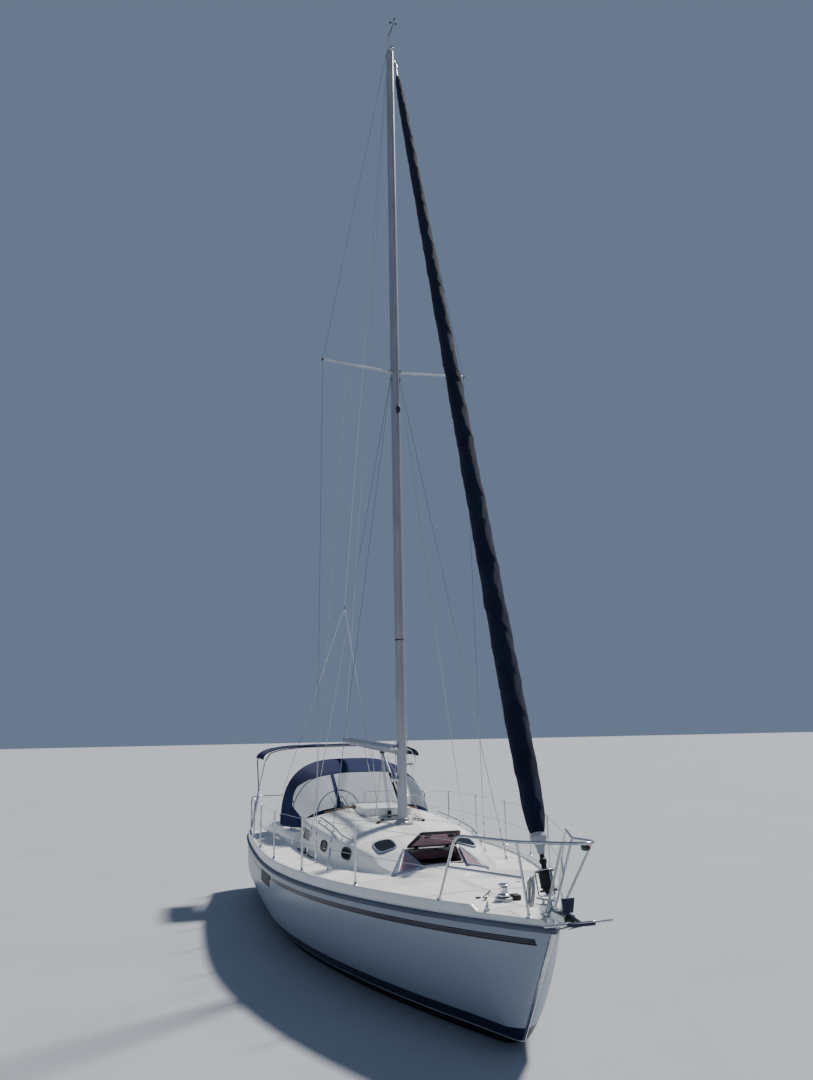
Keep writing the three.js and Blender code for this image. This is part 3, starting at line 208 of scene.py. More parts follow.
def add_camera():
    ahead = Vector((
        math.cos(CAMERA_YAW) * math.cos(CAMERA_PITCH),
        math.sin(CAMERA_YAW) * math.cos(CAMERA_PITCH),
        math.sin(CAMERA_PITCH),
    ))
    level = Vector((math.sin(CAMERA_YAW), -math.cos(CAMERA_YAW), 0))
    upright = level.cross(ahead)
    right = math.cos(CAMERA_ROLL) * level + math.sin(CAMERA_ROLL) * upright
    up = -math.sin(CAMERA_ROLL) * level + math.cos(CAMERA_ROLL) * upright
    data = bpy.data.cameras.new("camera")
    data.lens = CAMERA_LENS
    data.sensor_width = 36
    camera = bpy.data.objects.new("camera", data)
    bpy.context.scene.collection.objects.link(camera)
    turn = Matrix((right, up, -ahead)).transposed().to_4x4()
    camera.matrix_world = Matrix.Translation(CAMERA_AT) @ turn
    bpy.context.scene.camera = camera


# Materials
def linear(colour):
    """An sRGB hex colour as linear red, green, blue and alpha."""
    channels = [int(colour[i:i + 2], 16) / 255 for i in (1, 3, 5)]
    return [c / 12.92 if c <= 0.04045 else ((c + 0.055) / 1.055) ** 2.4 for c in channels] + [1.0]


def add(tree, kind, links=None, inputs=None, **settings):
    """Adds a node: settings are its own, inputs its unlinked values, links the outputs that feed it."""
    node = tree.nodes.new(kind)
    for name, value in settings.items():
        setattr(node, name, value)
    for key, value in (inputs or {}).items():
        node.inputs[key].default_value = value
    for key, output in (links or {}).items():
        tree.links.new(output, node.inputs[key])
    return node


def stops(node, rows, interpolation="LINEAR"):
    """Sets a colour ramp's stops from rows of place and hex colour."""
    ramp = node.color_ramp
    ramp.interpolation = interpolation
    while len(ramp.elements) < len(rows):
        ramp.elements.new(0.5)
    for element, (place, colour) in zip(ramp.elements, rows):
        element.position = place
        element.color = linear(colour)
    return node.outputs["Color"]


def started(name, **sockets):
    """A material with its shader's own sockets set, and the object coordinates for its patterns."""
    material = bpy.data.materials.new(name)
    material.use_nodes = True
    tree = material.node_tree
    shader = tree.nodes["Principled BSDF"]
    for socket, value in sockets.items():
        shader.inputs[socket.replace("_", " ")].default_value = value
    where = add(tree, "ShaderNodeTexCoord").outputs["Object"]
    return material, tree, shader, where


def mottled(tree, where, scale, detail=3.0, stretch=(1.0, 1.0, 1.0)):
    """An uneven pattern; a low stretch makes it longer along that axis."""
    laid = add(tree, "ShaderNodeMapping", {"Vector": where}, {"Scale": stretch})
    pattern = add(tree, "ShaderNodeTexNoise", {"Vector": laid.outputs["Vector"]},
                  {"Scale": scale, "Detail": detail})
    return pattern.outputs["Fac"]


def coloured(tree, shader, fac, dark, light, spread=(0.3, 0.7)):
    """The base colour, from dark to light, drawn from a pattern between two of its values."""
    ramp = add(tree, "ShaderNodeValToRGB", {"Fac": fac})
    tree.links.new(stops(ramp, [(spread[0], dark), (spread[1], light)]), shader.inputs["Base Color"])


def embossed(tree, shader, height, strength, depth):
    """A bump from a pattern; depth is in metres."""
    bump = add(tree, "ShaderNodeBump", {"Height": height}, {"Strength": strength, "Distance": depth})
    tree.links.new(bump.outputs["Normal"], shader.inputs["Normal"])


def finish(name, dark, light, mottle, rough=None, relief=None, spread=(0.3, 0.7), **sockets):
    """A finish of uneven patterns, each given as scale, detail and stretch.

    mottle draws its colours; rough is two values and the pattern between them; relief is the bump's
    strength, its depth and its pattern. The sockets are the shader's own.
    """
    material, tree, shader, where = started(name, **sockets)
    coloured(tree, shader, mottled(tree, where, *mottle), dark, light, spread)
    if rough:
        low, high, *grain = rough
        spread_out = add(tree, "ShaderNodeMapRange", {"Value": mottled(tree, where, *grain)},
                         {"To Min": low, "To Max": high})
        tree.links.new(spread_out.outputs["Result"], shader.inputs["Roughness"])
    if relief:
        strength, depth, *grain = relief
        embossed(tree, shader, mottled(tree, where, *grain), strength, depth)
    return material


# The topsides' gelcoat with its taped bands: boot top, white line and bottom paint by height, and
# three dark cove stripes parted by thin grey lines, by the distance below the sheer, which the skin
# carries. The cove stripes end short of the stem and of the transom.
BOOT_TOP_Z = 0.262
BOOT_FOOT_Z = 0.128
WHITE_LINE_Z = 0.112
BAND_SPAN = 0.4
COVE_TOP = 0.088
COVE_BANDS = [("#0B0D1C", 0.0), ("#5A6274", 0.017), ("#262B40", 0.021), ("#5A6274", 0.041),
              ("#0B0D1C", 0.045)]
COVE_MIDDLE = COVE_TOP + 0.034
COVE_HALF = 0.030
COVE_SPAN = 0.08
COVE_FORE_X = 4.985
COVE_AFT_X = -4.75


def make_hull_paint():
    material, tree, shader, where = started("gelcoat_topsides_striped_shade_painted", Specular_IOR_Level=0.3)
    parts = add(tree, "ShaderNodeSeparateXYZ", {"Vector": where}).outputs
    # Painted shade: the topsides' white gelcoat is coloured a darker blue-grey, the tone of the shade it lies
    # in, in two tones mottled at random.
    painted_shade_tones = add(tree, "ShaderNodeValToRGB", {"Fac": mottled(tree, where, 0.3, 1.0)})
    body = stops(painted_shade_tones, [(0.3, "#97A0AE"), (0.7, "#9DA6B4")])
    below = add(tree, "ShaderNodeAttribute", attribute_name="below_sheer").outputs["Fac"]
    spread = add(tree, "ShaderNodeMapRange", {"Value": below},
                 {"From Min": COVE_TOP, "From Max": COVE_TOP + COVE_SPAN})
    stripes = add(tree, "ShaderNodeValToRGB", {"Fac": spread.outputs["Result"]})
    cove = stops(stripes, [(far / COVE_SPAN, tint) for tint, far in COVE_BANDS], "CONSTANT")
    inside = add(tree, "ShaderNodeMath", {0: below}, {1: COVE_MIDDLE, 2: COVE_HALF}, operation="COMPARE")
    fore = add(tree, "ShaderNodeMath", {0: parts["X"]}, {1: COVE_FORE_X}, operation="LESS_THAN")
    aft = add(tree, "ShaderNodeMath", {0: parts["X"]}, {1: COVE_AFT_X}, operation="GREATER_THAN")
    run = add(tree, "ShaderNodeMath", {0: fore.outputs[0], 1: aft.outputs[0]}, operation="MULTIPLY")
    shown = add(tree, "ShaderNodeMath", {0: run.outputs[0], 1: inside.outputs[0]}, operation="MULTIPLY")
    striped = add(tree, "ShaderNodeMix", {0: shown.outputs[0], 6: body, 7: cove}, data_type="RGBA")
    worn = add(tree, "ShaderNodeValToRGB", {"Fac": mottled(tree, where, 14.0, 4.0, (0.25, 0.25, 1.0))})
    paint = stops(worn, [(0.3, "#0B0F19"), (0.75, "#161C2B")])
    height = add(tree, "ShaderNodeMapRange", {"Value": parts["Z"]}, {"From Min": 0.0, "From Max": BAND_SPAN})
    levels = add(tree, "ShaderNodeValToRGB", {"Fac": height.outputs["Result"]})
    bands = stops(levels, [(0.0, "#000000"), (WHITE_LINE_Z / BAND_SPAN, "#C6CBD2"),
                           (BOOT_FOOT_Z / BAND_SPAN, "#131C38"), (BOOT_TOP_Z / BAND_SPAN, "#FFFFFF")],
                  "CONSTANT")
    above = add(tree, "ShaderNodeMath", {0: parts["Z"]}, {1: BOOT_TOP_Z}, operation="GREATER_THAN")
    under = add(tree, "ShaderNodeMath", {0: parts["Z"]}, {1: WHITE_LINE_Z}, operation="LESS_THAN")
    lower = add(tree, "ShaderNodeMix", {0: under.outputs[0], 6: bands, 7: paint}, data_type="RGBA")
    whole = add(tree, "ShaderNodeMix", {0: above.outputs[0], 6: lower.outputs[2], 7: striped.outputs[2]},
                data_type="RGBA")
    tree.links.new(whole.outputs[2], shader.inputs["Base Color"])
    # The gelcoat is glossy and the bottom paint matt
    dull = add(tree, "ShaderNodeMapRange", {"Value": under.outputs[0]}, {"To Min": 0.26, "To Max": 0.75})
    tree.links.new(dull.outputs["Result"], shader.inputs["Roughness"])
    return material


# Moulded non-skid: the same gelcoat with a diamond grip pattern 14 mm across, drawn at twice its size.
def make_nonskid():
    material, tree, shader, where = started("gelcoat_nonskid", Roughness=0.62)
    coloured(tree, shader, mottled(tree, where, 2.2), "#DEE0DF", "#E8E9E7")
    grid = add(tree, "ShaderNodeMapping", {"Vector": where}, {"Rotation": (0, 0, math.radians(45))})
    checks = add(tree, "ShaderNodeTexVoronoi", {"Vector": grid.outputs["Vector"]},
                 {"Scale": 36.0, "Randomness": 0.0}, distance="CHEBYCHEV")
    embossed(tree, shader, checks.outputs["Distance"], 0.6, 0.003)
    return material


# Woven acrylic canvas, navy, solution dyed: a matt cloth with a slight sheen, a little uneven in tone at
# random.
def make_canvas(name, dark, light):
    material, tree, shader, where = started(name, Roughness=0.9, Sheen_Weight=0.05, Specular_IOR_Level=0.2)
    coloured(tree, shader, mottled(tree, where, 3.2, 5.0), dark, light, (0.25, 0.75))
    # Threads lie 0.6 mm apart in the real cloth; they are drawn 5 mm apart, so that they show.
    weave = add(tree, "ShaderNodeTexWave", {"Vector": where}, {"Scale": 63.0, "Distortion": 0.4},
                bands_direction="DIAGONAL")
    creases = mottled(tree, where, 5.0, 2.0, (1.0, 0.5, 1.6))
    both = add(tree, "ShaderNodeMath", {0: weave.outputs["Fac"], 1: creases, 2: creases},
               operation="MULTIPLY_ADD")
    embossed(tree, shader, both.outputs[0], 0.5, 0.02)
    return material


# Woven upholstery over foam, wine red.
def make_upholstery():
    material, tree, shader, where = started("upholstery_woven_wine", Roughness=0.92, Sheen_Weight=0.3)
    coloured(tree, shader, mottled(tree, where, 30.0, 4.0), "#4A2229", "#6B343B")
    weave = add(tree, "ShaderNodeTexVoronoi", {"Vector": where}, {"Scale": 160.0, "Randomness": 0.2})
    embossed(tree, shader, weave.outputs["Distance"], 0.5, 0.002)
    return material


# Braided polyester rope: strands 4 mm apart, drawn at 8 mm, with a coloured fleck.
def make_rope(name, body, fleck):
    material, tree, shader, where = started(name, Roughness=0.85, Sheen_Weight=0.2)
    cells = add(tree, "ShaderNodeTexVoronoi", {"Vector": where}, {"Scale": 125.0, "Randomness": 0.35})
    coloured(tree, shader, cells.outputs["Distance"], body, fleck, (0.25, 0.75))
    embossed(tree, shader, cells.outputs["Distance"], 0.6, 0.003)
    return material


# Polyester gelcoat, sprayed in a polished mould: a hard white gloss with a faint yellowing in patches.
GELCOAT = finish("gelcoat_polished", "#E9EAE6", "#F3F4F2", [1.6], (0.24, 0.36, 9.0),
                 (0.08, 0.0015, 55.0, 1.0), Coat_Weight=0.35, Coat_Roughness=0.12)
HULL_PAINT = make_hull_paint()
NONSKID = make_nonskid()
# Extruded PVC rub rail: grey vinyl, darkened to a blue-grey as painted shade under the bulwark's lip,
# weathered matt along its crown.
VINYL_RAIL = finish("vinyl_rail_grey_shade_painted", "#4C5564", "#5E6878", [4.0, 4.0, (0.3, 0.3, 1.0)], (0.45, 0.7, 20.0))
# Stainless steel tube, polished: bright, with faint handling marks.
STEEL = finish("stainless_polished", "#B9BDC2", "#D5D8DC", [25.0], (0.12, 0.3, 60.0, 5.0), Metallic=1.0)
# Clear anodised aluminium extrusion: a satin silver-grey with drawn lines up its length.
DRAWN_LINES = (120.0, 2.0, (1.0, 1.0, 0.02))
ALLOY = finish("aluminium_anodised", "#A3A8AE", "#B9BEC4", [6.0, 3.0, (1.0, 1.0, 0.2)],
               (0.34, 0.5, *DRAWN_LINES), (0.15, 0.0006, *DRAWN_LINES), Metallic=0.85)
# Cast manganese bronze, machined on the blades' edges, browned by salt water.
BRONZE = finish("bronze_cast", "#6E5330", "#B58B4E", [18.0, 5.0], (0.3, 0.6, 40.0), Metallic=1.0)
CANVAS = make_canvas("canvas_acrylic_navy", "#0B1743", "#12255C")
BINDING = make_canvas("canvas_binding_navy", "#0C142C", "#131D3C")
SAIL_COVER = make_canvas("sail_cover_strip_navy", "#0E1528", "#1A2440")
SAILCLOTH = make_canvas("sailcloth_weathered", "#AEB4BA", "#C9CDD1")
# Clear pressed vinyl, slightly hazed and rippled by handling.
CLEAR_VINYL = finish("vinyl_clear", "#8F9BA6", "#AEB8C1", [2.0], (0.04, 0.16, 7.0, 4.0),
                     (0.35, 0.01, 9.0, 2.0), Alpha=0.34, Specular_IOR_Level=0.7)
# Tinted cast acrylic: glossy and dark, with the cabin behind it faintly showing.
POLISHED = (0.05, 0.14, 30.0, 4.0)
ROSE_ACRYLIC = finish("acrylic_rose_tinted", "#A88A98", "#C4AAB6", [3.0], POLISHED,
                      Transmission_Weight=0.35, IOR=1.49, Specular_IOR_Level=0.3)
SMOKE_ACRYLIC = finish("acrylic_smoked", "#0D1013", "#1C2126", [3.0], POLISHED,
                       Transmission_Weight=0.1, IOR=1.49, Specular_IOR_Level=0.12)
# Powder-coated aluminium frames, and enamelled iron: an even low gloss with a fine texture.
COATED = ([12.0], (0.35, 0.55, 90.0), (0.1, 0.0005, 300.0, 1.0))
FRAME_GREY = finish("aluminium_frame_grey", "#707B8B", "#8C97A6", *COATED, Metallic=0.2)
FRAME_DARK = finish("aluminium_frame_bronze", "#2F2A30", "#443E45", *COATED, Metallic=0.2)
ENGINE_PAINT = finish("engine_enamel_grey", "#566167", "#6A767C", *COATED, Metallic=0.2)
ANCHOR_PAINT = finish("anchor_enamel_navy", "#1C2338", "#2A3350", *COATED, Metallic=0.2)
# Injection-moulded black nylon: matt, greyer where the sun has chalked it.
BLACK = finish("nylon_black", "#121315", "#24272B", [15.0, 4.0], (0.42, 0.65, 45.0), spread=(0.35, 0.75))
# Self-polishing bottom paint over iron and laminate: dead matt, rolled on, with a stipple.
BOTTOM_PAINT = finish("bottom_paint_matt", "#0D1220", "#1C2436", [6.0, 5.0],
                      relief=(0.4, 0.001, 140.0, 3.0), spread=(0.3, 0.75), Roughness=0.82)
UPHOLSTERY = make_upholstery()
# Cabin lining: vinyl headliner and varnished ply in a warm brown, seen only through the hatches.
LINING = finish("cabin_ply_varnished", "#8A6650", "#A98468", [7.0, 6.0, (0.15, 1.0, 1.0)],
                Roughness=0.35, Coat_Weight=0.2)
# Padded vinyl round the forward hatch's opening inside, mauve, its grain 3 mm drawn at 6 mm.
VINYL_MAUVE = finish("vinyl_padded_mauve", "#8E6A70", "#A27C80", [5.0],
                     relief=(0.3, 0.001, 160.0, 2.0), Roughness=0.55)
# Oiled teak: brown with dark streaks of grain along it, silvered on its edges.
GRAIN = (24.0, 6.0, (0.12, 1.0, 1.0))
TEAK = finish("teak_oiled", "#7A5B3C", "#B79A74", GRAIN, relief=(0.3, 0.002, *GRAIN), Roughness=0.6)
ROPE_WHITE = make_rope("rope_braided_white", "#D9DAD5", "#8E949C")
ROPE_RED = make_rope("rope_braided_red", "#C9B9B4", "#8C2C2F")
ROPE_DARK = make_rope("rope_braided_dark", "#3A3F46", "#15181D")
# Moulded polycarbonate lenses of the running lights: clear, deep in colour.
LENS = ([60.0], (0.08, 0.2, 80.0))
LENS_RED = finish("lens_red", "#5C0E12", "#8C1A1E", *LENS, Transmission_Weight=0.35, IOR=1.58)
LENS_GREEN = finish("lens_green", "#0B4A33", "#12694A", *LENS, Transmission_Weight=0.35, IOR=1.58)


# Modelling
def chosen(piece):
    """Makes a piece the only selected and active one."""
    bpy.ops.object.select_all(action="DESELECT")
    piece.select_set(True)
    bpy.context.view_layer.objects.active = piece
    return piece


def shaped(piece, kind, **settings):
    """Adds a modifier to a piece and applies it."""
    chosen(piece)
    modifier = piece.modifiers.new(kind.title(), kind)
    for name, value in settings.items():
        setattr(modifier, name, value)
    bpy.ops.object.modifier_apply(modifier=modifier.name)
    return piece


def walled(piece, thickness):
    """Gives an open sheet its thickness, half of it to each side."""
    return shaped(piece, "SOLIDIFY", thickness=thickness, offset=0)


def cut_by(piece, *tools):
    """Takes the tools' shapes out of a piece, and the tools away."""
    for tool in tools:
        shaped(piece, "BOOLEAN", object=tool, operation="DIFFERENCE", solver="EXACT")
        bpy.data.objects.remove(tool)
    return piece


def kept(piece, name, material, slot, body="hull", stands_for=(), degrees=35):
    """Names a finished piece, smooths it, gives it its material and lets it ride on its body."""
    piece.name = name
    piece.data.name = name
    chosen(piece)
    bpy.ops.object.shade_smooth_by_angle(angle=math.radians(degrees))
    piece.data.materials.clear()
    piece.data.materials.append(material)
    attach(piece, body)
    if stands_for:
        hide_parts(*stands_for)
    return piece


def together(pieces):
    """Joins pieces into the first of them."""
    bpy.ops.object.select_all(action="DESELECT")
    for piece in pieces:
        piece.select_set(True)
    bpy.context.view_layer.objects.active = pieces[0]
    if len(pieces) > 1:
        bpy.ops.object.join()
    return pieces[0]


def edited(piece, *steps):
    """Takes a piece through steps of editing, each with all of it selected."""
    chosen(piece)
    bpy.ops.object.mode_set(mode="EDIT")
    for step, settings in steps:
        bpy.ops.mesh.select_all(action="SELECT")
        step(**settings)
    bpy.ops.object.mode_set(mode="OBJECT")
    return piece


MERGE = (bpy.ops.mesh.remove_doubles, {"threshold": 1e-5})
FACE_OUT = (bpy.ops.mesh.normals_make_consistent, {"inside": False})


def without(piece, unwanted):
    """Takes the faces that a test names out of a piece."""
    chosen(piece)
    bpy.ops.object.mode_set(mode="EDIT")
    bpy.ops.mesh.select_all(action="DESELECT")
    bpy.ops.object.mode_set(mode="OBJECT")
    for polygon in piece.data.polygons:
        polygon.select = unwanted(polygon)
    bpy.ops.object.mode_set(mode="EDIT")
    bpy.ops.mesh.delete(type="FACE")
    bpy.ops.object.mode_set(mode="OBJECT")
    return piece


def raised(point, rise):
    return Vector(point) + Vector((0, 0, rise))


def full_turn(steps):
    """The angles of a full turn in even steps."""
    return [2 * math.pi * k / steps for k in range(steps)]


def squared(angle, power):
    """Where an angle lies on a rounded square from -1 to 1; a smaller power makes it squarer."""
    return [math.copysign(abs(share) ** power, share) for share in (math.cos(angle), math.sin(angle))]


def lofted(rings, ends=True):
    """A skin through rings of points, closed round each ring, and over both ends too."""
    count = len(rings[0])
    bpy.ops.mesh.primitive_grid_add(x_subdivisions=len(rings) - 1, y_subdivisions=count, size=1)
    piece = bpy.context.object
    for vertex in piece.data.vertices:
        i = round((vertex.co.x + 0.5) * (len(rings) - 1))
        j = round((vertex.co.y + 0.5) * count) % count
        vertex.co = rings[i][j]
    merge = (bpy.ops.mesh.remove_doubles, {"threshold": 1e-6})
    close = [(bpy.ops.mesh.fill_holes, {"sides": 0})] if ends else []
    return edited(piece, merge, *close, FACE_OUT)


def hooped(rings):
    """A skin through rings of points that comes round to its first ring again."""
    return lofted(rings + [rings[0]], ends=False)


def framed(first, second, rows):
    """A frame along two outlines. A row is a corner of its section: share from first to second, rise."""
    return hooped([[raised(a.lerp(b, share), rise) for share, rise in rows] for a, b in zip(first, second)])


def sheeted(columns, rows, place):
    """An open sheet; place gives each corner's point from two shares of its sides."""
    bpy.ops.mesh.primitive_grid_add(x_subdivisions=columns, y_subdivisions=rows, size=1)
    piece = bpy.context.object
    for vertex in piece.data.vertices:
        vertex.co = place(vertex.co.x + 0.5, vertex.co.y + 0.5)
    return piece


def block(x0, x1, y0, y1, z0, z1, bevel=0.004, segments=2):
    """A box with rounded edges."""
    bpy.ops.mesh.primitive_cube_add(size=1)
    piece = bpy.context.object
    size = Matrix.Diagonal((x1 - x0, y1 - y0, z1 - z0, 1))
    piece.data.transform(Matrix.Translation(((x0 + x1) / 2, (y0 + y1) / 2, (z0 + z1) / 2)) @ size)
    if bevel:
        shaped(piece, "BEVEL", width=bevel, segments=segments, limit_method="NONE")
    return piece


def block_at(at, long, wide, low, high, bevel=0.004):
    """A box with rounded edges round a point: its half length and half width, and its two heights."""
    x, y, z = at
    return block(x - long, x + long, y - wide, y + wide, z + low, z + high, bevel)


def facing(at, direction):
    """The place whose z axis points along a direction."""
    turn = Vector((0, 0, 1)).rotation_difference(Vector(direction).normalized())
    return Matrix.Translation(at) @ turn.to_matrix().to_4x4()


def turned(rows, place=None, sides=24):
    """A turned piece from rows of height and radius, drawn up row by row from a disc."""
    bpy.ops.mesh.primitive_circle_add(
        vertices=sides, radius=rows[0][1], fill_type="NGON", location=(0, 0, rows[0][0]))
    piece = bpy.context.object
    bpy.ops.object.transform_apply(location=True, rotation=False, scale=False)
    bpy.ops.object.mode_set(mode="EDIT")
    bpy.ops.mesh.select_all(action="SELECT")
    for (z0, r0), (z1, r1) in zip(rows, rows[1:]):
        bpy.ops.mesh.extrude_region_move(TRANSFORM_OT_translate={"value": (0, 0, z1 - z0)})
        bpy.ops.transform.resize(value=(r1 / r0, r1 / r0, 1), center_override=(0, 0, z1))
    bpy.ops.object.mode_set(mode="OBJECT")
    edited(piece, FACE_OUT)
    if place:
        piece.data.transform(place)
    return piece


def bent(points, bend=0.06, steps=6):
    """The points of a line with its corners rounded off."""
    at = [Vector(p) for p in points]
    line = [at[0]]
    for before, corner, after in zip(at, at[1:], at[2:]):
        back = before - corner
        on = after - corner
        start = corner + back.normalized() * min(bend, back.length * 0.45)
        end = corner + on.normalized() * min(bend, on.length * 0.45)
        for t in spaced(0, 1, steps):
            line.append(start * (1 - t) ** 2 + corner * 2 * t * (1 - t) + end * t * t)
    return line + [at[-1]]


def bent_round(points, bend, steps):
    """A closed outline with its corners rounded off. It starts and ends on one of its sides."""
    return bent(points, bend, steps)[:-1]


def tubes(lines, radius, sides=12, closed=False):
    """Round bars along lines of points, as one mesh with closed ends."""
    data = bpy.data.curves.new("bars", "CURVE")
    data.dimensions = "3D"
    data.bevel_depth = radius
    data.bevel_resolution = (sides - 4) // 2
    data.use_fill_caps = True
    for line in lines:
        spline = data.splines.new("POLY")
        spline.points.add(len(line) - 1)
        spline.use_cyclic_u = closed
        for point, at in zip(spline.points, line):
            point.co = (*at, 1)
    piece = bpy.data.objects.new("bars", data)
    bpy.context.scene.collection.objects.link(piece)
    chosen(piece)
    bpy.ops.object.convert(target="MESH")
    return bpy.context.object


def outlined(outline):
    """A flat or gently curved face inside an outline of points."""
    bpy.ops.mesh.primitive_circle_add(vertices=len(outline), radius=1, fill_type="NGON")
    piece = bpy.context.object
    for vertex, at in zip(piece.data.vertices, outline):
        vertex.co = at
    return piece


def plate(outline, depth, bevel=0.0):
    """A plate under an outline of points, thickened by depth, its edges rounded."""
    thicken = (bpy.ops.mesh.extrude_region_move, {"TRANSFORM_OT_translate": {"value": depth}})
    piece = edited(outlined(outline), thicken, FACE_OUT)
    if bevel:
        shaped(piece, "BEVEL", width=bevel, segments=2, limit_method="ANGLE")
    return piece


def copied(node, name, *steps):
    """A merged copy of a CAD node's mesh, taken through further steps of editing."""
    piece = bpy.data.objects.new(name, frame["nodes"][node].data.copy())
    bpy.context.scene.collection.objects.link(piece)
    return edited(piece, MERGE, *steps)


def refined(node, name, material, slot, bevel=0.004, degrees=35, sharp=50):
    """A copy of a CAD node with its edges rounded, which stands for the node."""
    piece = copied(node, name, (bpy.ops.mesh.dissolve_limited, {"angle_limit": math.radians(1)}))
    if bevel:
        shaped(piece, "BEVEL", width=bevel, segments=2, limit_method="ANGLE",
               angle_limit=math.radians(sharp), harden_normals=False)
    return kept(piece, name, material, slot, frame["nodes"][node]["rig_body"], [node], degrees)


# Hull: a fine skin outside, and the solid's own cabin, step and bores inside
SWIM_STEP = {"half": 0.76, "floor": 0.33, "fore_x": -4.78}
HULL_STATIONS = 190
HULL_GIRTH = 68


def make_hull():
    stations = [TRANSOM_X + (LENGTH - 0.006) * v * (1.35 - 0.35 * v) for v in spaced(0, 1, HULL_STATIONS)]

    def place(v, a):
        """A point of the skin: v runs from the transom forward, a from the starboard sheer to port."""
        x = stations[round(v * HULL_STATIONS)]
        side = -1 if a < 0.5 else 1
        u = abs(2 * a - 1) ** 1.7
        low = body_bottom(x)
        half = section_half(x, u) if u > 0 else 0.0
        return Vector((x, side * half, low + (sheer_z(x) - low) * u))

    skin = sheeted(HULL_STATIONS, HULL_GIRTH, place)
    rim = [place(0, a) for a in spaced(0, 1, HULL_GIRTH)]
    half, floor = SWIM_STEP["half"], SWIM_STEP["floor"]
    top = rim[-1].z
    step = [Vector((TRANSOM_X, y, z)) for y, z in ((half, top), (half, floor), (-half, floor), (-half, top))]
    hull = edited(together([skin, outlined(rim + step)]), MERGE, FACE_OUT)
    below = hull.data.attributes.new("below_sheer", "FLOAT", "POINT")
    for i, vertex in enumerate(hull.data.vertices):
        below.data[i].value = sheer_z(vertex.co.x) - vertex.co.z
    kept(hull, "hull_topsides", HULL_PAINT, "topsides", stands_for=["hull"], degrees=45)


def make_hull_inside():
    """The faces of the hull's solid that a look from outside doesn't meet, in two pieces."""
    parting_x = -4.75
    source = frame["nodes"]["hull"].data
    solid = BVHTree.FromPolygons([v.co.copy() for v in source.vertices],
                                 [tuple(p.vertices) for p in source.polygons])

    def is_inner(polygon):
        normal, at = polygon.normal, polygon.center
        low = body_bottom(at.x)
        share = min(1, max(0, (at.z - low) / (sheer_z(at.x) - low)))
        outside = abs(section_half(at.x, share) - abs(at.y)) < 0.02 and at.x < BOOT_STEM_X
        seen = outside or solid.ray_cast(at + normal * 0.001, normal)[0] is None
        step = normal.x < -0.9 and at.x > TRANSOM_X + 0.01
        return not seen or normal.z > 0.9 or step

    for name, material, slot, fore in (("cabin_interior", LINING, "topsides", True),
                                       ("swim_step_moulding", GELCOAT, "gelcoat", False)):
        # The faces are parted before the merge, so that none takes its neighbours along
        piece = bpy.data.objects.new(name, source.copy())
        bpy.context.scene.collection.objects.link(piece)
        without(piece, lambda polygon: not (is_inner(polygon) and (polygon.center.x > parting_x) == fore))
        kept(edited(piece, MERGE), name, material, slot)


def make_stem_guard():
    """A stainless band down the stem from the deck to the boot top."""
    rows = []
    for share in spaced(0, 1, 24):
        x = 4.41 + (5.166 - 4.41) * share
        z = BOOT_Z + (SHEER_BOW - BOOT_Z) * (x - BOOT_STEM_X) / (STEM_X - BOOT_STEM_X)
        wide = 0.020 + 0.012 * share
        side = [(x - 0.012, wide, z + 0.035), (x + 0.010, wide * 0.8, z + 0.004)]
        rows.append([(a, -b, c) for a, b, c in side] + [(x + 0.016, 0, z - 0.010)] + side[::-1])
    kept(lofted(rows), "stem_guard", STEEL, "stainless")


def make_rub_rail():
    stations = [STEM_X - 0.004 - (LENGTH - 0.004) * (1 - math.cos(math.pi / 2 * v))
                for v in spaced(0, 1, 150)]
    path = [(x, -sheer_half(x)) for x in reversed(stations)] + [(STEM_X + 0.006, 0.0)]
    path += [(x, sheer_half(x)) for x in stations]
    profile = [(0.001, -0.026), (0.016, -0.025), (0.026, -0.016), (0.030, 0), (0.026, 0.016), (0.016, 0.025),
               (0.001, 0.026)]
    rings = []
    for i, (x, y) in enumerate(path):
        x0, y0 = path[max(i - 1, 0)]
        x1, y1 = path[min(i + 1, len(path) - 1)]
        run = Vector((x1 - x0, y1 - y0)).normalized()
        rings.append([(x + run.y * out, y - run.x * out, sheer_z(min(x, STEM_X)) + up)
                      for out, up in profile])
    kept(lofted(rings), "rub_rail_extrusion", VINYL_RAIL, "vinyl_rail", stands_for=["rub_rail"])


# Deck moulding: bulwark, side decks and foredeck in one skin
WALL = 0.06


def inner_half(x):
    """Half the deck's width inside the bulwark."""
    half = sheer_half(x)
    return half - min(WALL, half * 0.35) - min(0.01, half * 0.1)


def deck_ring(x):
    """The deck's outline at a station, from the starboard foot over the top to the port foot."""
    half = sheer_half(x)
    wall = min(WALL, half * 0.35)
    fit = min(1, half / 0.3)
    top = sheer_z(x) + bulwark_at(x)
    lean = min(0.008, half * 0.1)
    inner = inner_half(x)
    r = 0.016 * fit
    fillet = min(0.03 * fit, (top - deck_z(x, inner)) * 0.4)
    corner = [math.radians(angle) for angle in (0, 30, 60, 90)]
    side = [(half, sheer_z(x) + 0.0003), (half - lean * 0.5, (sheer_z(x) + top) / 2)]
    side += [(half - lean - r + r * math.cos(a), top - r + r * math.sin(a)) for a in corner]
    side += [(half - wall + r - r * math.cos(a), top - r + r * math.sin(a)) for a in corner[::-1]]
    for a in corner:
        y = inner - fillet + fillet * math.cos(a)
        side.append((y, deck_z(x, y) + fillet - fillet * math.sin(a)))
    for share in (0.86, 0.7, 0.5, 0.3, 0.15):
        y = (inner - fillet) * share
        side.append((y, deck_z(x, y)))
    return ([(x, -y, z) for y, z in side] + [(x, 0, deck_z(x, 0))]
            + [(x, y, z) for y, z in reversed(side)])


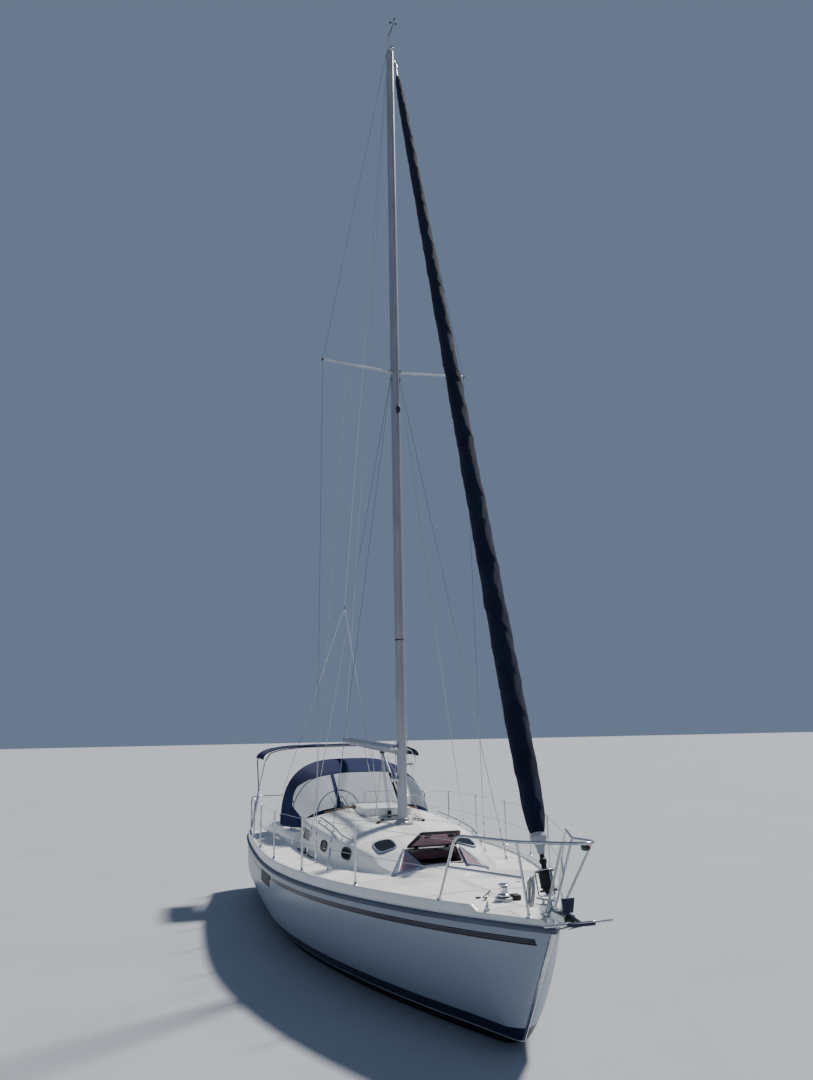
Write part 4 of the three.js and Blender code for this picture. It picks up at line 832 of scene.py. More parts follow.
# The cabin trunk's stations: x, half width, edge height, crown height
TRUNK = [
    (-1.450, 1.200, 1.640, 1.835),
    (-0.800, 1.205, 1.632, 1.800),
    (-0.100, 1.185, 1.618, 1.762),
    (0.509, 1.125, 1.592, 1.727),
    (1.070, 1.025, 1.550, 1.672),
    (1.500, 0.905, 1.500, 1.605),
    (1.800, 0.800, 1.448, 1.545),
    (2.120, 0.670, 1.380, 1.445),
    (2.400, 0.500, 1.330, 1.372),
]
TRUNK_SLOPE = 0.115
TRUNK_AFT_X = TRUNK[0][0]
TRUNK_FORE_X = TRUNK[-1][0]
TRUNK_WALL = 0.045
NOSE_RAMP = 0.30


def trunk_sizes(x):
    """Half width, edge height and crown height of the trunk at a station."""
    return [eased([(row[0], row[k]) for row in TRUNK], x) for k in (1, 2, 3)]


def rounded(points, times=3):
    """An open line with its corners cut again and again, its two ends kept."""
    for _ in range(times):
        line = [points[0]]
        for (y0, z0), (y1, z1) in zip(points, points[1:]):
            line.append((y0 * 0.75 + y1 * 0.25, z0 * 0.75 + z1 * 0.25))
            line.append((y0 * 0.25 + y1 * 0.75, z0 * 0.25 + z1 * 0.75))
        points = line + [points[-1]]
    return points


def facet_z(x, y):
    """The height of the slope beside the forward hatch, which a front window lies on."""
    return 1.545 - 0.3445 * (x - 1.79) - 0.4191 * (abs(y) - 0.40)


def nose(x, y, z):
    """A point of the trunk's skin, brought down to the windows' slopes and faired into the deck."""
    share = min(1, max(0, (x - 1.62) / 0.2))
    z -= max(0, z - facet_z(x, y) + 0.012) * share
    ramp = min(1, max(0, (x - TRUNK_FORE_X) / NOSE_RAMP)) * 0.98
    ramp = ramp * ramp * (3 - 2 * ramp)
    floor = deck_z(x, y)
    return (x, y, floor + (z - floor) * (1 - ramp) - 0.014 * ramp)


def trunk_ring(x, inset, bottom):
    """The trunk's outline at a station: its skin, or with an inset the room inside its wall."""
    half, edge, crown = trunk_sizes(x)
    top = half - TRUNK_SLOPE - inset
    foot = [(half + 0.02 - inset, bottom), (half - 0.052 - inset, edge - 0.07 - inset)]
    roof = [
        (half - 0.075 - inset, edge - 0.005 - inset),
        (top - 0.02, edge + 0.02 - inset),
        (top * 0.66, edge + (crown - edge) * 0.66 - inset),
        (top * 0.33, edge + (crown - edge) * 0.93 - inset),
    ]
    if inset == 0:
        # The skin's foot turns out into the deck
        share = (deck_z(x, half) - bottom) / (edge - 0.07 - bottom)
        y = half + 0.02 - 0.072 * share
        z = deck_z(x, y)
        foot = [(y + 0.05, z - 0.012), (y + 0.032, z + 0.002), (y + 0.004, z + 0.03),
                (half - 0.052, max(edge - 0.07, z + 0.034))]
    side = foot + roof
    whole = rounded(side + [(0, crown - inset)] + [(-y, z) for y, z in reversed(side)])
    return [(x, y, z) if inset else nose(x, y, z) for y, z in whole]


def trunk_body(inset, bottom, stations):
    return lofted([trunk_ring(x, inset, bottom) for x in stations])


def plan_cutter(inset, low, high):
    """A prism over the trunk's footprint."""
    rings = []
    for x, half, _, _ in TRUNK:
        x = min(max(x, TRUNK_AFT_X + inset), TRUNK_FORE_X - inset)
        y = half - inset
        rings.append([(x, -y, low), (x, y, low), (x, y, high), (x, -y, high)])
    return lofted(rings)


def locker_slab(grow, low, high):
    rings = []
    for x in (4.485 - grow, 4.68, 4.875 + grow):
        z = deck_z(x, 0.15)
        y = 0.145 + grow
        rings.append([(x, -y, z + low), (x, y, z + low), (x, y, z + high), (x, 0, z + high + 0.004),
                      (x, -y, z + high)])
    return lofted(rings)


def make_deck():
    stations = spaced(TRANSOM_X, 4.30, 150) + spaced(4.335, 4.425, 6) + spaced(4.46, 5.168, 24)
    deck = lofted([deck_ring(x) for x in stations])
    trunk = plan_cutter(0.05, 1.0, 2.0)
    cockpit = block(-4.730, -1.470, -1.130, 1.130, 0.99, 2.0, 0)
    step = block(-5.40, SWIM_STEP["fore_x"], -SWIM_STEP["half"], SWIM_STEP["half"],
                 SWIM_STEP["floor"], 3.0, 0)
    locker = block(4.50, 4.86, -0.13, 0.13, 1.0, 3.0, 0)
    rebate = locker_slab(0.005, -0.0203, 0.4)
    cut_by(deck, trunk, cockpit, step, locker, rebate)
    kept(deck, "deck_moulding", GELCOAT, "gelcoat", stands_for=["deck"], degrees=40)
    refined("anchor_locker_lid", "anchor_locker_lid_moulding", NONSKID, "gelcoat")


# Forward hatch: its opening narrows towards its fore end, and its lid is hinged aft and stands open
HATCH = {"fore_x": 2.205, "fore_z": 1.428, "fore_half": 0.256, "aft_x": 1.790, "aft_z": 1.547,
         "aft_half": 0.337}
HATCH_OPEN = math.radians(46)
HATCH_LONG = math.hypot(HATCH["aft_z"] - HATCH["fore_z"], HATCH["fore_x"] - HATCH["aft_x"])
HATCH_SLOPE = math.atan2(HATCH["aft_z"] - HATCH["fore_z"], HATCH["fore_x"] - HATCH["aft_x"])
HINGE_PLACE = Matrix.Translation((HATCH["aft_x"], 0, HATCH["aft_z"]))
HATCH_PLACE = HINGE_PLACE @ Matrix.Rotation(HATCH_SLOPE, 4, "Y")
LID_PLACE = HINGE_PLACE @ Matrix.Rotation(HATCH_SLOPE - HATCH_OPEN, 4, "Y")
# Flush hatches: name, centre x, centre y, half length, half width
FLUSH_HATCHES = [
    ("starboard_hatch", 1.500, -0.560, 0.190, 0.150),
    ("port_hatch", 1.500, 0.560, 0.190, 0.150),
    ("aft_hatch", 0.020, 0.0, 0.150, 0.230),
]
# Portlights: x, z, half length, half height
PORTLIGHTS = [(0.24, 1.435, 0.118, 0.058), (1.07, 1.435, 0.118, 0.058)]
# Long window in each trunk side: its corners as x and z, its aft end raked
SALOON_WINDOW = [(-1.36, 1.400), (-0.62, 1.400), (-0.55, 1.530), (-1.24, 1.535)]


def hatch_outline(grow, level, corner=0.04, aft=None):
    """A rounded outline in the hatch's own plane, x from its hinge forward."""
    x0 = -grow if aft is None else aft
    x1 = HATCH_LONG + grow
    y0 = HATCH["aft_half"] + grow
    y1 = HATCH["fore_half"] + grow
    return bent_round([(x0, 0, level), (x0, -y0, level), (x1, -y1, level), (x1, y1, level),
                       (x0, y0, level), (x0, 0, level)], corner, 5)


def oval(x, y, long, wide, steps=40):
    """A rounded oblong as two coordinates a point."""
    shares = [squared(a, 0.55) for a in full_turn(steps)]
    return [(x + long * c, y + wide * s) for c, s in shares]


def make_trunk():
    """The cabin trunk with its openings. Returns its roof, before they are cut, to set fittings on."""
    outer = trunk_body(0, 1.0, spaced(TRUNK_AFT_X, TRUNK_FORE_X, 90)
                       + spaced(TRUNK_FORE_X + 0.02, TRUNK_FORE_X + NOSE_RAMP, 14))
    roof = BVHTree.FromObject(outer, bpy.context.evaluated_depsgraph_get())
    inner = trunk_body(TRUNK_WALL, 0.7, spaced(TRUNK_AFT_X + TRUNK_WALL, TRUNK_FORE_X - 0.06, 40))
    hatch = plate(hatch_outline(0, -0.4), (0, 0, 0.8))
    hatch.data.transform(HATCH_PLACE)
    seats = [plate([(*p, 1.2) for p in oval(x, y, long - 0.025, wide - 0.025)], (0, 0, 1.0))
             for _, x, y, long, wide in FLUSH_HATCHES]
    companion = block(-1.70, -0.90, -0.30, 0.30, 1.40, 2.2, 0)
    lights = [oval(x, z, long + 0.006, tall + 0.006) for x, z, long, tall in PORTLIGHTS] + [SALOON_WINDOW]
    ports = [plate([(x, -2.0, z) for x, z in light], (0, 4.0, 0)) for light in lights]
    trunk = cut_by(outer, inner, hatch, companion, *seats, *ports)
    kept(trunk, "cabin_trunk_moulding", GELCOAT, "gelcoat", stands_for=["coachroof"], degrees=40)
    return roof


def seated(roof, x, y, lift=0.0):
    """The point on the cabin roof over x and y, lifted off it, and the roof's normal there."""
    hit, normal, _, _ = roof.ray_cast(Vector((x, y, 4)), Vector((0, 0, -1)))
    return hit + normal * lift, normal


def on_side(roof, x, z, side):
    """The point on the trunk's side at x and z, and the side's normal there."""
    hit, normal, _, _ = roof.ray_cast(Vector((x, side * 3, z)), Vector((0, -side, 0)))
    return hit, normal


def rimmed(roof, outline, width, height, sink=0.01):
    """A raised frame on the roof along a closed outline: its inner edge on it, its width outside."""
    middle = sum((Vector(p) for p in outline), Vector((0, 0))) / len(outline)
    profile = [(0, -sink), (0, height * 0.7), (width * 0.15, height), (width * 0.7, height),
               (width, height * 0.4), (width, -sink)]
    rings = []
    for x, y in outline:
        out = (Vector((x, y)) - middle).normalized()
        rings.append([seated(roof, x + out.x * far, y + out.y * far, lift)[0] for far, lift in profile])
    return hooped(rings)


def make_flush_hatches(roof):
    for name, x, y, long, wide in FLUSH_HATCHES:
        rim = rimmed(roof, oval(x, y, long - 0.026, wide - 0.026), 0.03, 0.020)
        kept(rim, f"{name}_rim", FRAME_GREY, "hatch_acrylic", name, [f"{name}_lid"])
        inside = oval(x, y, long - 0.024, wide - 0.024)
        pane = plate([seated(roof, *p, 0.014)[0] for p in inside], (0, 0, -0.008))
        kept(pane, f"{name}_pane", SMOKE_ACRYLIC, "hatch_acrylic", name)


def make_front_windows():
    """A three-cornered window in a broad frame on each slope beside the forward hatch."""
    frame_corners = [(2.06, 0.335), (1.775, 0.388), (2.160, 0.668), (2.330, 0.292), (2.06, 0.335)]
    pane_corners = [(2.06, 0.350), (1.835, 0.392), (2.190, 0.570), (2.292, 0.318), (2.06, 0.350)]
    section = [(0, -0.055), (0, 0.004), (0.12, 0.010), (0.85, 0.010), (1, 0.003), (1, -0.055)]
    for word, side in SIDES:
        outside, inside = [bent_round([(x, side * y, facet_z(x, y)) for x, y in corners], 0.030, 6)
                           for corners in (frame_corners, pane_corners)]
        kept(framed(outside, inside, section), f"front_window_frame_{word}", FRAME_GREY, "window_acrylic")
        pane = plate([raised(at, 0.001) for at in inside], (0, 0, -0.008))
        kept(pane, f"front_window_pane_{word}", ROSE_ACRYLIC, "window_acrylic",
             stands_for=[f"front_window_{word}"])


def make_forward_hatch():
    coaming = framed(hatch_outline(0.0, 0), hatch_outline(0.030, 0),
                     [(0, -0.05), (0, -0.008), (0.3, 0.0), (0.8, -0.004), (1, -0.015), (1, -0.06)])
    liner = framed(hatch_outline(0.004, 0), hatch_outline(0.012, 0),
                   [(0, -0.012), (1, -0.012), (1, -0.150), (0, -0.150)])
    low, high = 0.004, 0.028
    lid_frame = framed(hatch_outline(-0.030, 0, 0.03, 0.042), hatch_outline(0.017, 0, 0.04, 0.013),
                       [(0, low), (0, 0.0232), (0.3, high), (0.85, high), (1, 0.0208), (1, low)])
    pane = plate(hatch_outline(-0.028, 0.024, 0.03, 0.044), (0, 0, -0.010))
    hinges = []
    for y in (-0.215, 0.215):
        hinges.append(turned([(-0.03, 0.0077), (0.03, 0.0077)], facing((0, y, 0), (0, 1, 0)), 16))
        hinges.append(block(0.004, 0.05, y - 0.025, y + 0.025, 0.002, 0.010, 0.002))
    handles = []
    for y in (-0.16, 0.16):
        handles.append(block(HATCH_LONG - 0.075, HATCH_LONG - 0.04, y - 0.045, y + 0.045, -0.022, -0.001,
                             0.006))
        handles.append(turned([(-0.03, 0.014), (-0.005, 0.014)],
                              Matrix.Translation((HATCH_LONG - 0.058, y, 0))))
    for piece, place, name, material, slot, body, stands_for in (
            (coaming, HATCH_PLACE, "coaming", FRAME_DARK, "spar_alloy", "hull", ()),
            (liner, HATCH_PLACE, "liner", VINYL_MAUVE, "topsides", "hull", ()),
            (lid_frame, LID_PLACE, "lid_frame", FRAME_DARK, "hatch_acrylic", "forward_hatch",
             ["forward_hatch_lid"]),
            (pane, LID_PLACE, "pane", ROSE_ACRYLIC, "hatch_acrylic", "forward_hatch", ()),
            (together(hinges), LID_PLACE, "hinges", BLACK, "hatch_acrylic", "forward_hatch", ()),
            (together(handles), LID_PLACE, "handles", BLACK, "hatch_acrylic", "forward_hatch", ())):
        piece.data.transform(place)
        kept(piece, f"forward_hatch_{name}", material, slot, body, stands_for)


def make_portlights(roof):
    """Rounded portlights in the trunk's sides: a dark frame, its pane set in it."""
    profile = [(0, -0.01), (0, 0.008), (0.004, 0.014), (0.016, 0.014), (0.022, 0.006), (0.022, -0.01)]
    for word, side in SIDES:
        for number, (x, z, long, tall) in enumerate(PORTLIGHTS, 1):
            hit, normal = on_side(roof, x, z, side)
            fore = Vector((1, 0, 0))
            fore = (fore - normal * fore.dot(normal)).normalized()
            up = normal.cross(fore)
            up *= math.copysign(1, up.z)

            def at(u, v, grow, lift):
                return hit + fore * u * (long + grow) + up * v * (tall + grow) + normal * lift

            corners = [squared(a, 0.7) for a in full_turn(36)]
            rim = hooped([[at(u, v, grow, lift) for grow, lift in profile] for u, v in corners])
            kept(rim, f"portlight_{number}_rim_{word}", FRAME_DARK, "window_acrylic")
            pane = plate([at(u, v, 0.002, 0.004) for u, v in corners], tuple(normal * -0.006))
            kept(pane, f"portlight_{number}_pane_{word}", SMOKE_ACRYLIC, "window_acrylic")


# Spars
BOOM_X = MAST_X - MAST_LONG - 0.09
BOOM_Z = 2.762
VANG_FOOT_Z = 2.0


def make_mast():
    foot = MAST_FOOT_Z + 0.045
    head = MASTHEAD_Z - 0.06

    def section(z, grow=0.0):
        """The mast's oval at a height, with the sail's groove in its aft face unless it is grown."""
        ring = []
        for k, a in enumerate(full_turn(36)):
            x = (MAST_LONG + grow) * math.cos(a)
            if grow == 0 and k in (17, 18, 19):
                x += 0.012 if k == 18 else 0.002
            ring.append((mast_x(z) + x, (MAST_WIDE + grow) * math.sin(a), z))
        return ring

    tube = lofted([section(z) for z in spaced(foot, head, 40)])
    cap = block(mast_x(head) - 0.11, mast_x(head) + 0.11, -0.055, 0.055, head - 0.004, head + 0.012)
    x, z = mast_x(MASTHEAD_Z), MASTHEAD_Z
    crane = block(x - 0.170, x + 0.150, -0.032, 0.032, z - 0.09, z - 0.03, 0.008)
    sheaves = [turned([(-0.034, 0.032), (-0.03, 0.036), (0.03, 0.036), (0.034, 0.032)],
                      facing((x + dx, 0, z - 0.075), (0, 1, 0))) for dx in (-0.13, 0.12)]
    kept(together([tube, cap, crane, *sheaves]), "mast_extrusion", ALLOY, "spar_alloy", stands_for=["mast"],
         degrees=40)
    ears = [block(x, BOOM_X + 0.125, -0.024, 0.024, z, z + 0.012, 0.003)
            for x, z in ((BOOM_X + 0.025, BOOM_Z - 0.082), (BOOM_X + 0.025, BOOM_Z + 0.066),
                         (BOOM_X + 0.02, VANG_FOOT_Z - 0.012))]
    pads = []
    for z, wide, tall in ((BOOM_Z, 0.035, 0.11), (VANG_FOOT_Z, 0.03, 0.06)):
        face = mast_x(z) - MAST_LONG
        pads.append(block(face - 0.012, face + 0.02, -wide, wide, z - tall, z + tall, 0.006))
    kept(together(ears + pads), "gooseneck_fitting", STEEL, "stainless")
    # Collar and base plate under the mast
    collar = lofted([section(z, grow) for z, grow in ((1.735, 0.030), (1.748, 0.030), (1.756, 0.020),
                                                      (1.795, 0.012), (1.800, 0.004))])
    base = block(MAST_X - 0.170, MAST_X + 0.170, -0.110, 0.110, 1.700, 1.738, 0.01)
    kept(together([collar, base]), "mast_step_casting", ALLOY, "spar_alloy", stands_for=["mast_step"])
    # Seam in the extrusion, steaming light, spreader roots and halyard winches
    z = 4.42
    seam = lofted([section(z + dz, grow) for dz, grow in ((-0.012, 0.0005), (-0.010, 0.0025),
                                                          (0.010, 0.0025), (0.012, 0.0005))])
    kept(seam, "mast_seam_band", BLACK, "black_plastic")
    z = 8.25
    front = mast_x(z) + MAST_LONG
    lamp = [block(front - 0.012, front + 0.03, -0.028, 0.028, z - 0.06, z + 0.05, 0.008),
            turned([(-0.055, 0.030), (-0.045, 0.036), (0.030, 0.036), (0.045, 0.026), (0.05, 0.010)],
                   Matrix.Translation((front + 0.045, 0, z)))]
    kept(together(lamp), "steaming_light", BLACK, "black_plastic")
    x, z = mast_x(SPREADER_Z), SPREADER_Z
    roots = []
    for word, side in SIDES:
        y0, y1 = sorted((side * (MAST_WIDE - 0.02), side * (MAST_WIDE + 0.035)))
        roots.append(block(x - 0.055, x + 0.06, y0, y1, z - 0.03, z + 0.03, 0.008))
        refined(f"spreader_{word}", f"spreader_aerofoil_{word}", ALLOY, "spar_alloy", 0.003)
    kept(together(roots), "spreader_roots", ALLOY, "spar_alloy")
    tips = [turned([(-0.03, 0.010), (-0.02, 0.018), (0.02, 0.018), (0.03, 0.010)],
                   facing((x, side * SPREADER_REACH, z + SPREADER_TIP_RISE), (1, 0, 0)), 16)
            for _, side in SIDES]
    kept(together(tips), "spreader_tip_boots", BLACK, "black_plastic")
    winch = [(0, 0.045), (0.012, 0.05), (0.02, 0.036), (0.07, 0.034), (0.085, 0.045), (0.10, 0.045),
             (0.104, 0.02)]
    winches = [turned(winch, facing((mast_x(z), side * (MAST_WIDE - 0.01), z), (0, side, 0)))
               for side, z in ((-1, 2.35), (1, 2.55), (-1, 2.80))]
    kept(together(winches), "mast_winches", STEEL, "stainless")


# The boom's stations: x, height of its middle, half height, half width
BOOM_ROWS = [(BOOM_X, BOOM_Z, 0.070, 0.045), (-2.600, 2.862, 0.066, 0.045), (-3.250, 2.884, 0.048, 0.042)]


def make_boom():
    rings = []
    for x in spaced(BOOM_X, BOOM_ROWS[-1][0], 40):
        z, tall, wide = [along([(row[0], row[k]) for row in BOOM_ROWS], x) for k in (1, 2, 3)]
        ring = []
        for k, a in enumerate(full_turn(28)):
            y, up = squared(a, 0.7)
            # The sail's groove lies along the top
            groove = 0.014 if k == 7 else 0
            ring.append((x, wide * y, z + tall * up - groove))
        rings.append(ring)
    ends = [block(x - 0.012, x + 0.012, -wide - 0.004, wide + 0.004, z - tall - 0.003, z + tall + 0.002, 0.01)
            for x, z, tall, wide in (BOOM_ROWS[0], BOOM_ROWS[-1])]
    pin_x = BOOM_X + 0.045
    pin = [turned([(0, 0.016), (0.055, 0.016)], facing((BOOM_X - 0.01, 0, BOOM_Z), (1, 0, 0)), 16),
           turned([(-0.0697, 0.014), (0.0657, 0.014)], Matrix.Translation((pin_x, 0, BOOM_Z)), 20)]
    kept(together([lofted(rings), *ends, *pin]), "boom_extrusion", ALLOY, "spar_alloy", "boom", ["boom"], 40)
    refined("vang", "rod_vang", ALLOY, "spar_alloy", 0.0, 50)
    sheaths = []
    lower = Vector((pin_x, 0, 2.022))
    run = Vector((-0.56, 0, 2.73)) - lower
    for near, far, radius in ((0.02, 0.5, 0.026), (0.5, 0.53, 0.03), (0.94, 0.985, 0.026)):
        long = run.length * (far - near)
        sheaths.append(turned([(0, radius * 0.9), (0.004, radius), (long - 0.004, radius),
                               (long, radius * 0.9)], facing(lower + run * near, run), 20))
    kept(together(sheaths), "vang_barrel", BLACK, "black_plastic", "boom")


# Forestay, its furled sail and the furling gear
STAY_FOOT = Vector((5.140, 0, 1.470))
STAY_HEAD = Vector((mast_x(MASTHEAD_Z) + 0.151, 0, MASTHEAD_Z - 0.06))
STAY_PLACE = facing(STAY_FOOT, STAY_HEAD - STAY_FOOT)
# The furled sail: distance up the stay, radius
SAIL_ROWS = [(0.5583, 0.045), (0.72, 0.092), (1.1, 0.116), (2.2, 0.124), (5.0, 0.112), (9.0, 0.092),
             (12.6, 0.074), (13.7, 0.050), (13.9, 0.018), (14.15, 0.018)]
WRAP_PITCH = 0.92


def around_stay(radius, angle, up, middle=(0, 0)):
    """A point beside the forestay."""
    x = middle[0] + radius * math.cos(angle)
    y = middle[1] + radius * math.sin(angle)
    return STAY_PLACE @ Vector((x, y, up))


def make_headsail():
    def ring(d):
        points = []
        for a in full_turn(40):
            wrap = (a / (2 * math.pi) + d / WRAP_PITCH) % 1.0
            lip = 0.075 * (1 - wrap) ** 3
            second = 0.03 * (1 - (wrap + 0.5) % 1.0) ** 4
            crease = 0.030 * math.sin(3 * a + 8.3 * d + 1.7 * math.sin(2.1 * d))
            crease += 0.018 * math.sin(7 * a - 23 * d)
            radius = eased(SAIL_ROWS, d) * (0.95 + lip + second + crease)
            points.append(around_stay(radius, a, d))
        return points

    sail = lofted([ring(d) for d in spaced(0.5585, 13.9, 620)])
    kept(sail, "furled_genoa_cover", SAIL_COVER, "sail_cover", "furler", ["furled_genoa"], 60)
    foil = turned([(13.88, 0.017), (14.15, 0.017), (14.155, 0.034), (14.17, 0.036), (14.265, 0.036),
                   (14.28, 0.034), (14.285, 0.016), (14.4217, 0.016)], STAY_PLACE, 20)
    kept(foil, "furler_foil_and_swivel", ALLOY, "sail_cover", "furler")
    tack = turned([(0.44, 0.020), (0.46, 0.034), (0.50, 0.040), (0.55, 0.060), (0.60, 0.082), (0.64, 0.070)],
                  STAY_PLACE)
    kept(tack, "genoa_tack_cloth", SAILCLOTH, "sail_cover", "furler")


def make_furler():
    drum = turned([(0.1003, 0.030), (0.119, 0.034), (0.122, 0.080), (0.125, 0.084), (0.132, 0.084),
                   (0.135, 0.080), (0.140, 0.050), (0.285, 0.050), (0.290, 0.080), (0.293, 0.084),
                   (0.300, 0.084), (0.303, 0.080), (0.306, 0.026), (0.36, 0.026), (0.37, 0.036),
                   (0.40, 0.036), (0.41, 0.024), (0.558, 0.022)], STAY_PLACE, 32)
    kept(drum, "furler_drum_moulding", BLACK, "black_plastic", "furler", ["furler_drum"])
    steps = 24
    turns = [[around_stay(radius, 2 * math.pi * k / steps, start + 0.011 * k / steps)
              for k in range(steps * 12)] for radius, start in ((0.054, 0.147), (0.062, 0.151))]
    kept(tubes(turns, 0.0045, 6), "furling_line_turns", ROPE_DARK, "black_plastic", "furler")
    bars = [bent([around_stay(0, 0, 0.088), around_stay(0.096, a, 0.088), around_stay(0.096, a, 0.300)],
                 0.02, 4) for a in full_turn(3)]
    hoop = [around_stay(0.096, a, 0.300) for a in full_turn(40)]
    foot = turned([(-0.095, 0.013), (-0.06, 0.013), (-0.055, 0.022), (-0.02, 0.022), (-0.015, 0.013),
                   (0.076, 0.014), (0.078, 0.040), (0.098, 0.040), (0.100, 0.030)], STAY_PLACE)
    toggle = block(5.085, 5.165, -0.012, 0.012, 1.3895, 1.45)
    cage = [tubes(bars, 0.0065), tubes([hoop], 0.006, closed=True), foot, toggle]
    kept(together(cage), "furler_cage_bars", STEEL, "stainless", stands_for=["furler_cage"])


# Standing rigging: wires with swaged ends, bottlescrews, toggles and chainplates. The shrouds'
# chainplates are given as x: cap shroud, fore and aft lower shroud.
CHAINPLATE_Y = 1.29
CHAINPLATES = (MAST_X, 1.290, -0.215)
WIRE = 0.0048


def bottlescrew(foot, towards):
    """A bottlescrew with its toggle, from a chainplate towards the far end of its wire."""
    place = facing(foot, towards - foot)
    body = turned([(0.06, 0.006), (0.075, 0.0065), (0.080, 0.0115), (0.10, 0.013), (0.28, 0.013),
                   (0.30, 0.0115), (0.305, 0.0065), (0.33, 0.0062), (0.335, 0.0085), (0.42, 0.0085),
                   (0.425, 0.0052)], place, 16)
    toggle = block(-0.011, 0.011, -0.011, 0.011, -0.02, 0.062)
    toggle.data.transform(place)
    pin = turned([(-0.018, 0.007), (0.018, 0.007)], place @ Matrix.Translation((0, 0, 0.03))
                 @ Matrix.Rotation(math.pi / 2, 4, "X"), 12)
    return [body, toggle, pin, block_at(foot, 0.045, 0.016, -0.004, 0.008, 0.003)]


def stay_wire(foot, end):
    """A wire to its bottlescrew, which ends 0.3 m above the chainplate."""
    return [tubes([[foot + (end - foot).normalized() * 0.3, end]], WIRE, 8), *bottlescrew(foot, end)]


def tang(side, long, z):
    """A plate on the mast's side that holds wires."""
    y0, y1 = sorted((side * MAST_WIDE, side * (MAST_WIDE + 0.02)))
    return block(mast_x(z) - long, mast_x(z) + long, y0, y1, z - 0.06, z + 0.04)


def make_shrouds():
    for word, side in SIDES:
        cap_foot, fore_foot, aft_foot = [Vector((x, side * CHAINPLATE_Y, deck_z(x, CHAINPLATE_Y)))
                                         for x in CHAINPLATES]
        tip = Vector((mast_x(SPREADER_Z), side * SPREADER_REACH, SPREADER_Z + SPREADER_TIP_RISE))
        wire_y = side * (MAST_WIDE + 0.012)
        z = MASTHEAD_Z - 0.19
        head = Vector((mast_x(z), wire_y, z))
        cap = [tubes([[cap_foot + (tip - cap_foot).normalized() * 0.3, tip], [tip, head]], WIRE, 8),
               tang(side, 0.02, z), *bottlescrew(cap_foot, tip)]
        kept(together(cap), f"cap_shroud_wire_{word}", STEEL, "stainless", stands_for=[f"cap_shroud_{word}"])
        z = SPREADER_Z - 0.14
        lowers = [tang(side, 0.03, z)]
        lowers += stay_wire(fore_foot, Vector((mast_x(z) + 0.014, wire_y, z)))
        lowers += stay_wire(aft_foot, Vector((mast_x(z) - 0.014, wire_y, z)))
        kept(together(lowers), f"lower_shroud_wires_{word}", STEEL, "stainless",
             stands_for=[f"lower_shrouds_{word}"])


def make_backstay():
    """One wire down from the masthead, split over the cockpit into a leg to each quarter."""
    top = Vector((mast_x(MASTHEAD_Z) - 0.165, 0, MASTHEAD_Z - 0.06))
    x = -3.36
    stay = [tubes([[top, Vector((x, 0, 5.52))]], WIRE, 8),
            block(x - 0.035, x + 0.035, -0.012, 0.012, 5.43, 5.55, 0.01)]
    for _, side in SIDES:
        stay += stay_wire(Vector((-4.96, side * 1.18, deck_z(-4.96, 1.18))), Vector((x, side * 0.012, 5.48)))
    kept(together(stay), "backstay_wires", STEEL, "stainless", stands_for=["backstay"])


# Rails
STANCHIONS = [2.690, 1.350, 0.100, -1.200, -2.450]
STANCHION_HEIGHT = 0.66
PULPIT_FOOT_X = 3.98
PUSHPIT_FOOT_X = -3.62
PULPIT_TOP = [(4.330, 0.620, 2.020), (5.080, 0.290, 2.030), (5.700, 0.150, 2.085), (5.870, 0.060, 2.100)]
PULPIT_NOSE = (5.890, 0, 2.100)
PULPIT_MID_Z = 1.700


def rail_foot(at, direction=(0, 0, 1)):
    return turned([(-0.003, 0.030), (0.003, 0.030), (0.006, 0.026), (0.010, 0.018), (0.035, 0.0165),
                   (0.038, 0.0145)], facing(at, direction))


def pulpit_top(side):
    """The corners of the pulpit's rail on one side, from aft forward."""
    return [Vector((x, side * y, z)) for x, y, z in PULPIT_TOP]


def make_rails():
    for word, side in SIDES:
        feet = [rail_base(x, side) for x in STANCHIONS]
        posts = [tubes([[foot, raised(foot, STANCHION_HEIGHT - 0.005)] for foot in feet], 0.0125, 16)]
        posts += [rail_foot(foot) for foot in feet]
        posts += [turned([(0, 0.0135), (0.006, 0.0135), (0.011, 0.008)],
                         Matrix.Translation(raised(foot, STANCHION_HEIGHT - 0.012)), 16) for foot in feet]
        wires = []
        for rise in (STANCHION_HEIGHT - 0.015, STANCHION_HEIGHT / 2):
            start = rail_base(PULPIT_FOOT_X, side).lerp(pulpit_top(side)[0], rise / 0.70)
            end = raised(rail_base(PUSHPIT_FOOT_X, side), min(rise, 0.585))
            wires.append([start, *[raised(foot, rise) for foot in feet], end])
        posts.append(tubes(wires, 0.0032, 8))
        kept(together(posts), f"stanchions_and_lifelines_{word}", STEEL, "stainless",
             stands_for=[f"stanchions_{word}", f"aft_stanchions_{word}"])


def at_height(low, high, z):
    """The point at a height on the straight line between two points."""
    return low.lerp(high, (z - low.z) / (high.z - low.z))


def make_pulpit():
    halves = [[rail_base(PULPIT_FOOT_X, side), *pulpit_top(side)] for side in (1, -1)]
    bars = [tubes([bent([*halves[0], PULPIT_NOSE, *reversed(halves[1])], 0.11, 8)], 0.0145, 16)]
    for side in (-1, 1):
        aft = rail_base(PULPIT_FOOT_X, side)
        aft_bend, bend, top, _ = pulpit_top(side)
        front = rail_base(4.93, side)
        foot = Vector((5.165, side * 0.072, 1.40))
        mid = [at_height(aft, aft_bend, PULPIT_MID_Z), at_height(front, bend, PULPIT_MID_Z)]
        bars.append(tubes([[front, bend], mid, [top, foot]], 0.0125, 14))
        bars.append(rail_foot(aft, (0.35, 0, 0.7)))
        bars.append(rail_foot(front, bend - front))
        bars.append(rail_foot(foot, top - foot))
    kept(together(bars), "pulpit_tubes", STEEL, "stainless", stands_for=["pulpit"])


